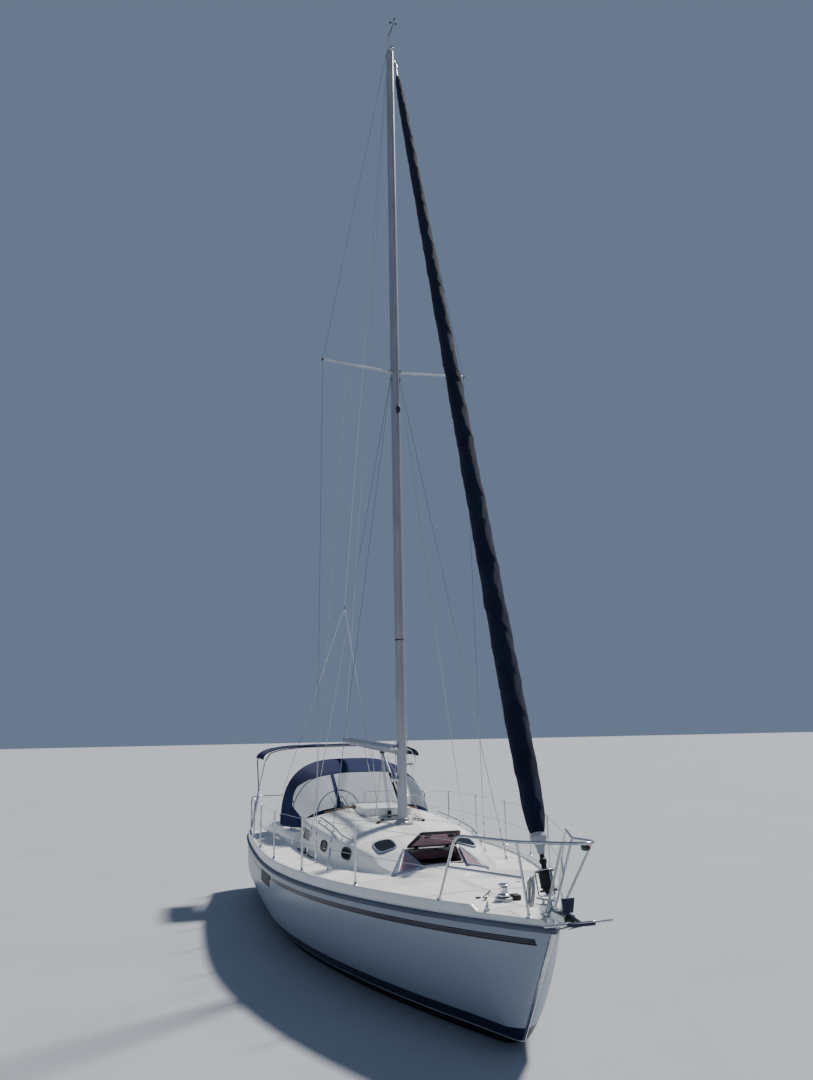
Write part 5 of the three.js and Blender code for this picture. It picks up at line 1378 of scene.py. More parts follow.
def make_bow_light():
    """A two-colour running light under the pulpit's nose."""
    lamp = block(5.80, 5.86, -0.030, 0.030, 2.035, 2.085, 0.012)
    kept(lamp, "bow_light_body", BLACK, "black_plastic")
    for word, side, lens in (("green", -1, LENS_GREEN), ("red", 1, LENS_RED)):
        glass = block(5.822, 5.866, *sorted((side * 0.004, side * 0.036)), 2.043, 2.077, 0.010)
        kept(glass, f"bow_light_lens_{word}", lens, "black_plastic")


def make_pushpits():
    for word, side in SIDES:
        def at(x, y, rise):
            return Vector((x, side * y, sheer_z(x) + BULWARK + rise))

        fore = rail_base(PUSHPIT_FOOT_X, side)
        fore_y = abs(fore.y)
        inner = Vector((-5.08, side * 0.85, deck_z(-5.08, 0.85)))
        corner = rail_base(-5.06, side)
        corner.y *= 0.98
        top = bent([fore, at(-3.62, fore_y, 0.6), at(-4.90, 1.54, 0.6), at(-5.08, 1.38, 0.6),
                    at(-5.08, 0.85, 0.6), inner], 0.10, 8)
        mid = bent([at(-3.62, fore_y, 0.32), at(-4.90, 1.545, 0.32), at(-5.06, 1.45, 0.32)], 0.08, 8)
        bars = [tubes([top, [corner, at(-5.04, 1.43, 0.59)]], 0.0125, 14), tubes([mid], 0.011, 12)]
        bars += [rail_foot(foot) for foot in (fore, corner, inner)]
        kept(together(bars), f"pushpit_tubes_{word}", STEEL, "stainless", stands_for=[f"pushpit_{word}"])


# Canvas: arches across the boat, given as x, half width, base height, crown height, base x
DODGER = [
    (-1.235, 1.120, 1.462, 1.720, -1.480),
    (-1.250, 1.130, 1.480, 1.905, -1.750),
    (-1.600, 1.190, 1.470, 2.170, -1.900),
    (-2.000, 1.235, 1.450, 2.380, -2.150),
    (-2.500, 1.260, 1.420, 2.520, -2.620),
    (-2.920, 1.270, 1.410, 2.545, -3.020),
]
BIMINI = [
    (-3.440, 1.560, 2.540, 2.790, -3.440),
    (-3.900, 1.570, 2.555, 2.815, -3.900),
    (-4.350, 1.560, 2.550, 2.810, -4.350),
    (-4.760, 1.530, 2.520, 2.770, -4.760),
]


def arch_at(rows, t, w, inset=0.0):
    """A point on a canopy: t counts its arches from the first, w runs from -1 starboard to 1 port."""
    x, half, base, crown, base_x = [eased([(i, row[k]) for i, row in enumerate(rows)], t) for k in range(5)]
    steep = min(abs(w), 1) ** (1 / 0.6)
    rise = max(1 - steep * steep, 0) ** 0.375
    return Vector((base_x + (x - base_x) * rise, (half - inset) * w, base + (crown - inset - base) * rise))


# Shares of a canopy's half width, close together where its sides turn down
EDGE_SHARES = [1.0, 0.9998, 0.999, 0.997, 0.993, 0.987, 0.978, 0.965, 0.948, 0.925, 0.895, 0.86, 0.82, 0.775,
               0.725, 0.67, 0.61, 0.55, 0.51, 0.470, 0.430, 0.39, 0.34, 0.285, 0.225, 0.165, 0.11, 0.055]
SHARES = [-w for w in EDGE_SHARES] + [0.0] + EDGE_SHARES[::-1]


def line_length(points):
    return sum((b - a).length for a, b in zip(points, points[1:]))


# The dodger's windows: two dividers at these shares of the half width, and the roof's seam, which
# runs aft down the sides
DIVIDER = (0.430, 0.470)
PANE_FOOT = 0.66
PANE_SIDE = 0.978
ROOF_SEAM = [(0.0, 2.80), (0.5, 2.80), (0.67, 2.92), (0.82, 3.20), (0.895, 3.45), (0.948, 3.35),
             (0.978, 3.1), (1.0, 3.0)]
FOOT_COLUMNS = 5
PANE_COLUMNS = 16
ROOF_COLUMNS = 26
SEAM_COLUMN = FOOT_COLUMNS + PANE_COLUMNS
DODGER_COLUMNS = SEAM_COLUMN + ROOF_COLUMNS


def dodger_place(column, w, inset=0.0):
    """A point of the dodger's cloth by its column: foot, windows and roof, one after the other."""
    seam = along(ROOF_SEAM, abs(w))
    if column <= FOOT_COLUMNS:
        t = PANE_FOOT * column / FOOT_COLUMNS
    elif column <= SEAM_COLUMN:
        t = PANE_FOOT + (seam - PANE_FOOT) * (column - FOOT_COLUMNS) / PANE_COLUMNS
    else:
        t = seam + (len(DODGER) - 1 - seam) * (column - SEAM_COLUMN) / ROOF_COLUMNS
    # The dividers stand upright: their feet are farther apart than their heads
    low = 1 - min(max((column - FOOT_COLUMNS) / PANE_COLUMNS, 0), 1)
    at = arch_at(DODGER, t, w * (1 + 0.18 * low * (1 - w * w)), inset)
    # The roof's cloth hangs a little between its bows and puckers at the front one
    if t > 3:
        slack = math.sin(math.pi * (t - 3) / 2) * max(1 - w * w, 0)
        at.z -= 0.014 * slack
        at.z -= 0.004 * slack * math.sin(26 * w + 3 * t)
    return at


def dodger_grid(inset=0.0):
    lines = len(SHARES) - 1
    return sheeted(DODGER_COLUMNS, lines,
                   lambda u, v: dodger_place(round(u * DODGER_COLUMNS), SHARES[round(v * lines)], inset))


def in_pane(cell):
    """Whether a cell of the dodger's grid belongs to a window."""
    row, column = divmod(cell.index, DODGER_COLUMNS)
    share = abs(SHARES[row] + SHARES[row + 1]) / 2
    glazed = FOOT_COLUMNS <= column < SEAM_COLUMN
    return glazed and share < PANE_SIDE and not DIVIDER[0] < share < DIVIDER[1]


def make_dodger(roof):
    cloth = without(dodger_grid(), in_pane)
    across = line_length([dodger_place(40, w) for w in SHARES])
    deep = line_length([dodger_place(column, 0.0) for column in range(DODGER_COLUMNS + 1)])
    walled(cloth, 0.0025)
    kept(cloth, "dodger_cloth", CANVAS, "canvas", stands_for=["dodger_canvas"], degrees=60)
    panes = without(dodger_grid(0.003), lambda cell: not in_pane(cell))
    walled(panes, 0.0015)
    kept(panes, "dodger_clear_panes", CLEAR_VINYL, "clear_vinyl", stands_for=["dodger_window"], degrees=60)
    # Bindings: the aft edge, the foot, the roof's seam, the windows' foot and both edges of each divider
    out = Vector((0.003, 0, 0.001))
    glazed = range(FOOT_COLUMNS, SEAM_COLUMN + 1)
    lines = [[dodger_place(DODGER_COLUMNS, w) for w in SHARES], [dodger_place(0, w) for w in SHARES],
             [dodger_place(SEAM_COLUMN, w) + Vector((0.003, 0, 0.003)) for w in SHARES],
             [dodger_place(FOOT_COLUMNS, w) + out for w in SHARES]]
    for w in (-DIVIDER[1], -DIVIDER[0], DIVIDER[0], DIVIDER[1]):
        lines.append([dodger_place(column, w) + out for column in glazed])
    binding = tubes(lines, 0.0055, 8)
    kept(binding, "dodger_bindings", BINDING, "canvas", degrees=60)
    strip = [Vector(corner) for corner in ((0.001, -0.030, 0.001), (0.006, -0.028, 0.003),
                                           (0.006, 0.028, 0.003), (0.001, 0.030, 0.001))]
    dividers = [lofted([[dodger_place(column, middle) + corner for corner in strip] for column in glazed])
                for middle in (-sum(DIVIDER) / 2, sum(DIVIDER) / 2)]
    kept(together(dividers), "dodger_window_dividers", CANVAS, "canvas", degrees=60)
    # Two bows under the roof, and a grab rail on each side between them
    bows = []
    for t, x, y in ((3.02, -2.08, 1.225), (4.96, -2.98, 1.250)):
        bow = [raised(arch_at(DODGER, t, w, 0.017), -0.002) for w in SHARES if abs(w) < 0.998]
        bows.append([(x, -y, 1.405), *bow, (x, y, 1.405)])
    rails = [bent([(-2.10, side * 1.205, 1.62), (-2.15, side * 1.17, 1.86), (-2.86, side * 1.19, 1.86),
                   (-2.97, side * 1.235, 1.62)], 0.08) for side in (-1, 1)]
    frame_tubes = tubes(bows + rails, 0.0110, 12)
    kept(frame_tubes, "dodger_bows", STEEL, "stainless", degrees=50)
    # Teak ledge on the roof in front of the windows' foot
    section = [Vector((dx, 0, dz)) for dx, dz in ((-0.016, -0.004), (-0.016, 0.026), (-0.010, 0.031),
                                                  (0.010, 0.031), (0.016, 0.026), (0.016, -0.004))]
    ledge = []
    for w in spaced(-0.72, 0.72, 40):
        at = arch_at(DODGER, 0.95, w)
        hit = seated(roof, at.x + 0.02, at.y)[0]
        ledge.append([hit + corner for corner in section])
    kept(lofted(ledge), "dodger_foot_ledge", TEAK, "canvas")


# The bimini's slots for the legs of the backstay: how far out they lie, and their two ends
BIMINI_SLOTS = (0.69, 0.80)
BIMINI_SLOT_X = (-4.90, -4.31)


def bimini_place(t, w):
    at = arch_at(BIMINI, t, w)
    slack = math.sin(math.pi * min(max((t - 0.1) / 2.75, 0), 1)) * max(1 - w * w, 0)
    at.z -= 0.016 * slack + 0.004 * slack * math.sin(19 * w + 2 * t)
    return at


def make_bimini():
    t_lines = spaced(0, 3, 30)
    slot_shares = [y / BIMINI[0][1] for y in BIMINI_SLOTS]
    half_shares = sorted({*EDGE_SHARES, *slot_shares, 0.48}, reverse=True)
    shares = [-w for w in half_shares] + [0.0] + half_shares[::-1]
    columns, lines = len(t_lines) - 1, len(shares) - 1
    cloth = sheeted(columns, lines,
                    lambda u, v: bimini_place(t_lines[round(u * columns)], shares[round(v * lines)]))

    def in_slot(cell):
        row, column = divmod(cell.index, columns)
        w = abs(shares[row] + shares[row + 1]) / 2
        x = bimini_place((t_lines[column] + t_lines[column + 1]) / 2, 0).x
        return slot_shares[0] < w < slot_shares[1] and BIMINI_SLOT_X[0] < x < BIMINI_SLOT_X[1]

    without(cloth, in_slot)
    across = line_length([bimini_place(1.5, w) for w in shares])
    deep = line_length([bimini_place(t, 0.0) for t in t_lines])
    walled(cloth, 0.0025)
    kept(cloth, "bimini_cloth", CANVAS, "canvas", stands_for=["bimini_canvas"], degrees=60)
    hems = [[bimini_place(t, w) for w in shares] for t in (0, 3)]
    hems += [[bimini_place(t, w) for t in t_lines] for w in (-0.9999, 0.9999)]
    seams = [[raised(bimini_place(t, w), 0.002) for w in shares if abs(w) < 0.997] for t in (0.12, 2.87)]
    binding = together([tubes(hems, 0.0075, 8), tubes(seams, 0.003, 6)])
    kept(binding, "bimini_bindings", BINDING, "canvas", degrees=60)
    # Two bows that meet in a hinge on a leg at each side
    feet = [rail_base(-3.80, side) for _, side in SIDES]
    hinges = [Vector((-4.02, side * 1.56, 1.96)) for _, side in SIDES]
    bars = [tubes([[foot, hinge] for foot, hinge in zip(feet, hinges)], 0.0125, 14)]
    for hip_x, t, crown in ((-3.50, 0.14, 2.764), (-4.70, 2.85, 2.747)):
        over = [raised(arch_at(BIMINI, t, w), -0.032) for w in shares if abs(w) < 0.93]
        over = [(hip_x, at.y * 0.985, min(at.z, crown)) for at in over]
        hips = [(hip_x, side * 1.52, 2.50) for _, side in SIDES]
        bow = bent([hinges[0], hips[0], *over, hips[1], hinges[1]], 0.05, 4)
        bars.append(tubes([bow], 0.0125, 14))
    for foot, hinge in zip(feet, hinges):
        bars.append(rail_foot(foot, hinge - foot))
        bars.append(turned([(-0.022, 0.014), (-0.018, 0.022), (0.018, 0.022), (0.022, 0.014)],
                           facing(hinge, (0, 1, 0)), 16))
    bows = together(bars)
    kept(bows, "bimini_bows", STEEL, "stainless", stands_for=["bimini_frame"], degrees=50)


# Companionway: seahood, sliding hatch and washboard
def make_companionway():
    base = trunk_sizes(-0.90)[2]
    profile = [(-0.37, -0.06), (-0.368, 0.05), (-0.350, 0.066), (-0.30, 0.075), (0.0, 0.0795), (0.30, 0.075),
               (0.350, 0.066), (0.368, 0.05), (0.37, -0.06)]
    hood = [[(x, y, base + z) for y, z in profile] for x in (-0.90, -0.892, -0.60, -0.30, -0.262)]
    hood += [[(x, y * 0.99, base - 0.06 + (z + 0.06) * k) for y, z in profile]
             for x, k in ((-0.248, 0.93), (-0.240, 0.72))]
    hood = cut_by(lofted(hood), block(-1.0, -0.28, -0.335, 0.335, base + 0.0377, base + 0.068, 0))
    kept(hood, "seahood_moulding", GELCOAT, "gelcoat")
    refined("sliding_hatch", "sliding_hatch_moulding", GELCOAT, "gelcoat", 0.003)
    grip = block(-1.488, -1.477, -0.12, 0.12, base + 0.040, base + 0.060, 0.003)
    kept(grip, "sliding_hatch_grip", TEAK, "gelcoat", "sliding_hatch")
    refined("washboard", "washboard_smoked", SMOKE_ACRYLIC, "window_acrylic", 0.004)


# A long window in each side of the trunk
def make_saloon_windows(roof):
    middle = Vector([sum(corner[k] for corner in SALOON_WINDOW) / len(SALOON_WINDOW) for k in (0, 1)])
    corners = [(x, 0, z) for x, z in SALOON_WINDOW]
    start = tuple((a + b) / 2 for a, b in zip(corners[0], corners[-1]))
    outline = bent_round([start, *corners, start], 0.04, 5)
    rows = ((-0.004, -0.012), (-0.004, 0.008), (0.004, 0.013), (0.018, 0.013), (0.024, 0.006),
            (0.024, -0.012))
    for word, side in SIDES:
        rings, inner = [], []
        for p in outline:
            away = (Vector((p.x, p.z)) - middle).normalized()
            ring = []
            for grow, lift in rows:
                hit, normal = on_side(roof, p.x + away.x * grow, p.z + away.y * grow, side)
                ring.append(hit + normal * lift)
            rings.append(ring)
            hit, normal = on_side(roof, p.x, p.z, side)
            inner.append(hit + normal * 0.004)
        kept(hooped(rings), f"saloon_window_frame_{word}", FRAME_GREY, "window_acrylic")
        pane = plate(inner, (0, -side * 0.006, 0))
        kept(pane, f"saloon_window_pane_{word}", SMOKE_ACRYLIC, "window_acrylic")
        out = Vector((0, side * 0.007, 0))
        bar = [on_side(roof, x, z, side)[0] + out for x, z in ((-1.20, 1.408), (-1.09, 1.524))]
        kept(tubes([bar], 0.007, 8), f"saloon_window_mullion_{word}", GELCOAT, "window_acrylic")


# Non-skid panels: thin sheets just over the deck, the roof and the seats
PANEL_CORNER = 0.03


def deck_panel(x0, x1, side, inner):
    """A panel on a side deck with rounded corners, from a line inboard out to the bulwark."""
    def place(u, v):
        x = x0 + (x1 - x0) * u
        ends = min(u, 1 - u) * (x1 - x0)
        cut = PANEL_CORNER - math.sqrt(max(PANEL_CORNER ** 2 - max(PANEL_CORNER - ends, 0) ** 2, 0))
        y0, y1 = inner(x) + cut, inner_half(x) - 0.075 - cut
        y = y0 + (y1 - y0) * v
        return (x, side * y, deck_z(x, y) + 0.002)

    return sheeted(40, 8, place)


def make_nonskid_panels(roof):
    def by_trunk(x):
        return trunk_sizes(x)[0] + 0.10

    panels = ((-1.35, 1.10, by_trunk), (1.16, 2.24, by_trunk), (2.78, 3.45, lambda x: 0.05),
              (3.52, 4.36, lambda x: 0.05), (-4.55, -1.42, lambda x: 1.385))
    deck_pads = together([deck_panel(x0, x1, side, inner) for x0, x1, inner in panels for side in (-1, 1)])
    walled(deck_pads, 0.002)
    kept(deck_pads, "deck_nonskid_panels", NONSKID, "gelcoat", degrees=50)

    def roof_panel(x0, x1, y0, y1, side):
        def place(u, v):
            return seated(roof, x0 + (x1 - x0) * u, side * (y0 + (y1 - y0) * v), 0.0025)[0]

        return sheeted(24, 12, place)

    panels = ((-0.80, 0.25, 0.44, 0.90), (0.36, 1.22, 0.16, 0.84), (1.28, 1.70, 0.10, 0.33))
    roof_pads = together([roof_panel(*panel, side) for panel in panels for side in (-1, 1)])
    walled(roof_pads, 0.002)
    kept(roof_pads, "roof_nonskid_panels", NONSKID, "gelcoat", degrees=50)
    # Seats, cockpit floor and swim step
    seats = []
    for side in (-1, 1):
        y0, y1 = sorted((side * 0.47, side * 1.06))
        for x0, x1 in ((-4.35, -3.02), (-2.96, -1.56)):
            seats.append(block(x0, x1, y0, y1, 1.0195, 1.0235, 0.0015, 1))
    for x0, x1 in ((-4.34, -3.86), (-3.54, -2.62), (-2.56, -1.56)):
        seats.append(block(x0, x1, -0.36, 0.36, 0.6195, 0.6235, 0.0015, 1))
    seats.append(block(-5.15, -4.81, -0.72, 0.72, 0.3295, 0.3325, 0.0015, 1))
    kept(together(seats), "cockpit_nonskid_panels", NONSKID, "gelcoat", degrees=50)


# Cockpit and steering
WINCH_X = -3.35
WINCH_Y = 1.185
WINCH_BASE_Z = 1.418
PEDESTAL_X = -3.70
WHEEL_Z = 1.48
WHEEL_RADIUS = 0.43


def make_cockpit():
    refined("cockpit", "cockpit_moulding", GELCOAT, "gelcoat", 0.014, 40, 40)
    rows = [(0.0003, 0.062), (0.004, 0.066), (0.014, 0.066), (0.020, 0.050), (0.045, 0.046), (0.090, 0.046),
            (0.100, 0.052), (0.110, 0.060), (0.114, 0.061), (0.118, 0.056), (0.124, 0.056), (0.128, 0.060),
            (0.134, 0.056), (0.135, 0.024)]
    for word, side in SIDES:
        place = Matrix.Translation((WINCH_X, side * WINCH_Y, WINCH_BASE_Z))
        kept(turned(rows, place, 36), f"winch_{word}_turned", STEEL, "stainless", f"winch_{word}",
             [f"winch_drum_{word}"])
        # Grip ribs on the drum
        ribs = []
        for a in full_turn(18):
            rib = block(0.045, 0.0485, -0.0025, 0.0025, 0.030, 0.088, 0.001, 1)
            rib.data.transform(place @ Matrix.Rotation(a, 4, "Z"))
            ribs.append(rib)
        kept(together(ribs), f"winch_{word}_ribs", STEEL, "stainless", f"winch_{word}")


def make_helm():
    refined("steering_pedestal", "steering_pedestal_moulding", GELCOAT, "gelcoat", 0.008, 50)
    bowl = turned([(1.64, 0.070), (1.648, 0.078), (1.664, 0.078), (1.670, 0.070), (1.690, 0.062),
                   (1.706, 0.044), (1.714, 0.020)], Matrix.Translation((PEDESTAL_X + 0.01, 0, 0)))
    kept(bowl, "compass_bowl", BLACK, "black_plastic")
    x = PEDESTAL_X + 0.13
    guard = [bent([(x, side * 0.15, 0.625), (x, side * 0.15, 1.60), (x, side * 0.02, 1.80)], 0.10)
             for side in (-1, 1)]
    kept(tubes([guard[0] + guard[1][::-1]], 0.0125, 14), "pedestal_guard", STEEL, "stainless")
    face = [block(PEDESTAL_X - 0.064, PEDESTAL_X - 0.058, y - 0.035, y + 0.035, 1.53, 1.61, 0.002)
            for y in (-0.042, 0.042)]
    kept(together(face), "engine_gauges", BLACK, "black_plastic")
    centre = Vector((PEDESTAL_X - 0.11, 0, WHEEL_Z))

    def way(a):
        return Vector((0, math.cos(a), math.sin(a)))

    rim = [centre + WHEEL_RADIUS * way(a) for a in full_turn(72)]
    spokes = [turned([(0.03, 0.0095), (0.10, 0.0085), (0.40, 0.0065), (0.421, 0.0065)],
                     facing(centre, way(a)), 12) for a in full_turn(6)]
    hub = turned([(0.0, 0.028), (0.004, 0.036), (0.018, 0.040), (0.052, 0.040), (0.060, 0.030),
                  (0.0697, 0.026)], facing((PEDESTAL_X - 0.13, 0, WHEEL_Z), (1, 0, 0)), 28)
    wheel = together([tubes([rim], 0.0125, 16, closed=True), hub, *spokes])
    kept(wheel, "steering_wheel_ring", STEEL, "stainless", "steering_wheel", ["steering_wheel"])
    wrap = []
    for start in full_turn(72):
        a = start + math.pi / 72
        wrap.append(turned([(-0.014, 0.0136), (-0.012, 0.0144), (0.012, 0.0144), (0.014, 0.0136)],
                           facing(centre + WHEEL_RADIUS * way(a), (0, -math.sin(a), math.cos(a))), 10))
    kept(together(wrap), "steering_wheel_wrap", BINDING, "stainless", "steering_wheel")


# Under water: keel, rudder, propeller. A foil's half section is given as share of its chord and of
# its half thickness, the keel and the rudder as z, x, chord, thickness.
FOIL = [(0, 0), (0.0125, 0.32), (0.05, 0.6), (0.1, 0.78), (0.2, 0.95), (0.35, 1), (0.6, 0.75), (0.85, 0.3),
        (1, 0.04)]
KEEL_ROWS = [(-0.43, 0.200, 1.950, 0.210), (-0.70, 0.170, 1.800, 0.205), (-1.50, 0.060, 1.480, 0.185),
             (-1.62, 0.040, 1.560, 0.260), (-1.80, 0.020, 1.600, 0.320), (-1.94, 0.0, 1.560, 0.280),
             (-1.98, 0.0, 1.440, 0.170)]
RUDDER_X = -4.08
RUDDER_ROWS = [(-0.235, RUDDER_X, 0.620, 0.110), (-0.70, RUDDER_X, 0.600, 0.100),
               (-1.35, RUDDER_X, 0.470, 0.070), (-1.56, RUDDER_X, 0.400, 0.040)]


def foil_body(rows, lead, steps):
    rings = []
    for z in spaced(rows[0][0], rows[-1][0], steps):
        cx, chord, thick = [along([(row[0], row[k]) for row in rows], z) for k in (1, 2, 3)]
        upper = []
        for k in spaced(0, 1, 28):
            share = k ** 1.6
            upper.append((cx + chord * (lead - share), thick / 2 * eased(FOIL, share), z))
        rings.append(upper + [(x, -y, z0) for x, y, z0 in upper[:0:-1]])
    return lofted(rings)


def make_below():
    # The keel's root goes up into the hull bottom; the part of it inside the hull is never seen
    kept(foil_body(KEEL_ROWS, 0.45, 62), "keel_casting", BOTTOM_PAINT, "keel_iron", stands_for=["keel"],
         degrees=40)
    blade = foil_body(RUDDER_ROWS, 0.26, 30)
    stock = turned([(-0.30, 0.028), (0.398, 0.028), (0.40, 0.026)], Matrix.Translation((RUDDER_X, 0, 0)))
    kept(together([blade, stock]), "rudder_blade_faired", BOTTOM_PAINT, "rudder_laminate", "rudder",
         ["rudder"], 40)
    refined("propeller", "propeller_polished", BRONZE, "bronze", 0.0015, 40)
    refined("shaft_strut", "shaft_strut_casting", BRONZE, "bronze", 0.002, 40)
    refined("engine_block", "engine_block_painted", ENGINE_PAINT, "engine_paint", 0.02)


# Bow gear
def make_windlass():
    refined("windlass_base", "windlass_base_casting", ALLOY, "spar_alloy", 0.006)
    x = 4.08
    base = deck_z(x, 0)
    rows = [(0.0353, 0.042), (0.038, 0.060), (0.052, 0.070), (0.060, 0.070), (0.066, 0.056), (0.075, 0.042),
            (0.100, 0.039), (0.130, 0.040), (0.145, 0.052), (0.150, 0.060), (0.160, 0.060), (0.165, 0.052)]
    kept(turned(rows, Matrix.Translation((x, 0, base)), 32), "windlass_capstan", STEEL, "stainless",
         "windlass", ["windlass_drum"])
    motor = [block(x - 0.055, x + 0.055, 0.080, 0.175, base, base + 0.055, 0.012)]
    motor += [turned([(0.0, 0.026), (0.010, 0.030), (0.014, 0.028)],
                     Matrix.Translation((x - 0.22, y, base - 0.004))) for y in (-0.12, -0.20)]
    kept(together(motor), "windlass_switches", BLACK, "black_plastic")
    handle = together([block(-0.020, 0.300, -0.014, 0.014, 0.062, 0.072),
                       turned([(0.060, 0.020), (0.064, 0.024), (0.074, 0.024), (0.078, 0.018)], None, 20)])
    handle.data.transform(Matrix.Translation((x - 0.10, -0.16, base - 0.030)) @ Matrix.Rotation(2.6, 4, "Z"))
    kept(handle, "windlass_handle", STEEL, "stainless")
    for word, _ in SIDES:
        refined(f"bow_cleat_{word}", f"bow_cleat_cast_{word}", STEEL, "stainless", 0.004, 50)


def make_anchor():
    """The bow roller and the anchor that lies on it."""
    refined("bow_roller", "bow_roller_plates", STEEL, "stainless", 0.003, 40)
    wheel = turned([(-0.047, 0.030), (-0.040, 0.032), (-0.012, 0.0275), (0.012, 0.0275), (0.040, 0.032),
                    (0.047, 0.030)], facing((5.44, 0, 1.418), (0, 1, 0)), 28)
    kept(wheel, "bow_roller_wheel", BLACK, "black_plastic")
    # The anchor sinks by this much until its shank rests on the roller
    drop = -0.0084
    shank = lofted([[(x, y, z + dz + drop) for y, dz in ((-0.007, -0.014), (0.007, -0.014), (0.007, 0.014),
                                                         (-0.007, 0.014))]
                    for x, z in ((5.36, 1.475), (5.70, 1.440))])
    shaped(shank, "BEVEL", width=0.003, segments=2, limit_method="ANGLE")
    flukes = []
    for side in (-1, 1):
        rows = []
        for share in spaced(0, 1, 12):
            x = 5.70 - 0.40 * share
            z = 1.437 - 0.133 * share + drop
            inner = 0.020 + 0.055 * share
            outer = 0.120 - 0.035 * share ** 1.2
            thick = 0.009 * (1 - 0.55 * share)
            rows.append([(x, side * y, z + dz * thick)
                         for y, dz in ((inner, -0.5), (inner, 0.5), ((inner + outer) / 2, 1),
                                       (outer, 0.5), (outer, -0.5), ((inner + outer) / 2, -1))])
        flukes.append(lofted(rows))
    crown = block(5.66, 5.72, -0.12, 0.12, 1.422 + drop, 1.452 + drop, 0.008)
    keeper = plate([(5.46, -0.045, 1.480 + drop), (5.46, 0.045, 1.480 + drop), (5.46, 0.066, 1.592),
                    (5.46, -0.066, 1.592)], (0.010, 0, 0), 0.002)
    kept(together([shank, crown, keeper, *flukes]), "anchor_forging", ANCHOR_PAINT, "anchor_paint",
         stands_for=["anchor"])
    stock = turned([(-0.33, 0.009), (-0.327, 0.011), (0.327, 0.011), (0.33, 0.009)],
                   facing((5.64, 0, 1.432 + drop), (0, 1, 0)), 16)
    bow = [raised(at, drop) for at in ((5.37, 0.010, 1.470), (5.335, 0.014, 1.472), (5.315, 0, 1.472),
                                       (5.335, -0.014, 1.472), (5.37, -0.010, 1.470))]
    kept(together([stock, tubes([bent(bow, 0.012, 4)], 0.004, 8)]), "anchor_stock", STEEL, "anchor_paint")


COIL_AT = (5.020, -0.124, 1.578)
CAGE_BAR = (-0.048, -0.0831)
COIL_TIE = 0.268


def make_rope_coil():
    """A furling line's tail, coiled, wrapped and tied by one turn to a bar of the furler's cage."""
    x, y, z = COIL_AT
    loops = []
    for k in range(7):
        wide = 0.044 + 0.012 * math.sin(2.3 * k)
        tall = 0.118 + 0.012 * math.sin(1.7 * k + 1)
        loops.append([(x + wide * math.sin(a) + 0.004 * math.sin(3 * k), y - 0.005 * k + 0.012 * math.cos(a),
                       z + tall * math.cos(a)) for a in full_turn(32)])
    for k in range(4):
        loops.append([(x + 0.034 * math.cos(a), y - 0.016 + 0.030 * math.sin(a), z + 0.062 + 0.010 * k)
                      for a in full_turn(24)])
    loops.append([around_stay(0.011, a, COIL_TIE, CAGE_BAR) for a in full_turn(16)])
    tie = around_stay(0.011, -math.pi / 2, COIL_TIE, CAGE_BAR)
    tail = bent([(x, y - 0.010, z + 0.070), (x, y - 0.004, z + 0.125), tie], 0.03)
    coil = together([tubes(loops, 0.0048, 8, closed=True), tubes([tail], 0.0048, 8)])
    kept(coil, "furling_line_coil", ROPE_WHITE, "canvas", degrees=60)


def make_badges():
    """A bare dark slanted panel on each topside, across the stripes."""
    for word, side in SIDES:
        def place(u, v):
            x = -0.80 + 0.66 * u + 0.14 * v
            z = 0.865 + 0.175 * v
            share = (z - body_bottom(x)) / (sheer_z(x) - body_bottom(x))
            return (x, side * (section_half(x, share) + 0.004), z)

        badge = sheeted(20, 8, place)
        walled(badge, 0.005)
        kept(badge, f"topsides_panel_bare_{word}", BLACK, "black_plastic", degrees=40)


def make_chain():
    """Chain out of its pipe in the foredeck, over the roller to the anchor's shackle, hauled tight."""
    pipe = Vector((4.925, 0.031, deck_z(4.925, 0.031)))
    path = [pipe, Vector((5.010, 0.031, 1.412)), Vector((5.22, 0.031, 1.430)), Vector((5.325, 0.010, 1.461))]
    places = []
    for a, b in zip(path, path[1:]):
        steps = max(round((b - a).length / 0.026), 1)
        places += [(a.lerp(b, (k + 0.5) / steps), b - a) for k in range(steps)]
    bpy.ops.mesh.primitive_torus_add(major_radius=0.0105, minor_radius=0.0034, major_segments=14,
                                     minor_segments=8)
    link = bpy.context.object
    link.data.transform(Matrix.Diagonal((1.6, 1.0, 1.0, 1)))
    links = []
    for k, (at, way) in enumerate(places):
        copy = bpy.data.objects.new("link", link.data.copy())
        bpy.context.scene.collection.objects.link(copy)
        turn = Vector((1, 0, 0)).rotation_difference(way.normalized()).to_matrix().to_4x4()
        copy.data.transform(Matrix.Translation(at) @ turn @ Matrix.Rotation(math.pi / 2 * (k % 2), 4, "X"))
        links.append(copy)
    bpy.data.objects.remove(link)
    kept(together(links), "anchor_chain", STEEL, "stainless", degrees=60)
    ring = turned([(-0.004, 0.034), (0.006, 0.036), (0.012, 0.030), (0.012, 0.022)], Matrix.Translation(pipe))
    kept(ring, "chain_pipe", STEEL, "stainless")


def make_ladder():
    x, z, half, tall = -5.202, 0.365, 0.170, 0.760
    rails = [[(x, side * half, z), (x, side * half, z + tall)] for side in (-1, 1)]
    ladder = [tubes(rails, 0.0125, 16)]
    for rise in (0.120, 0.360, 0.600):
        ladder.append(block(x - 0.014, x + 0.014, -half, half, z + rise, z + rise + 0.040, 0.006))
    ladder.append(turned([(-half - 0.032, 0.010), (half + 0.032, 0.010)], facing((x, 0, z), (0, 1, 0)), 20))
    kept(together(ladder), "boarding_ladder_tubes", STEEL, "stainless", "boarding_ladder",
         ["boarding_ladder"])
    refined("ladder_bracket", "ladder_bracket_plates", STEEL, "stainless", 0.001)


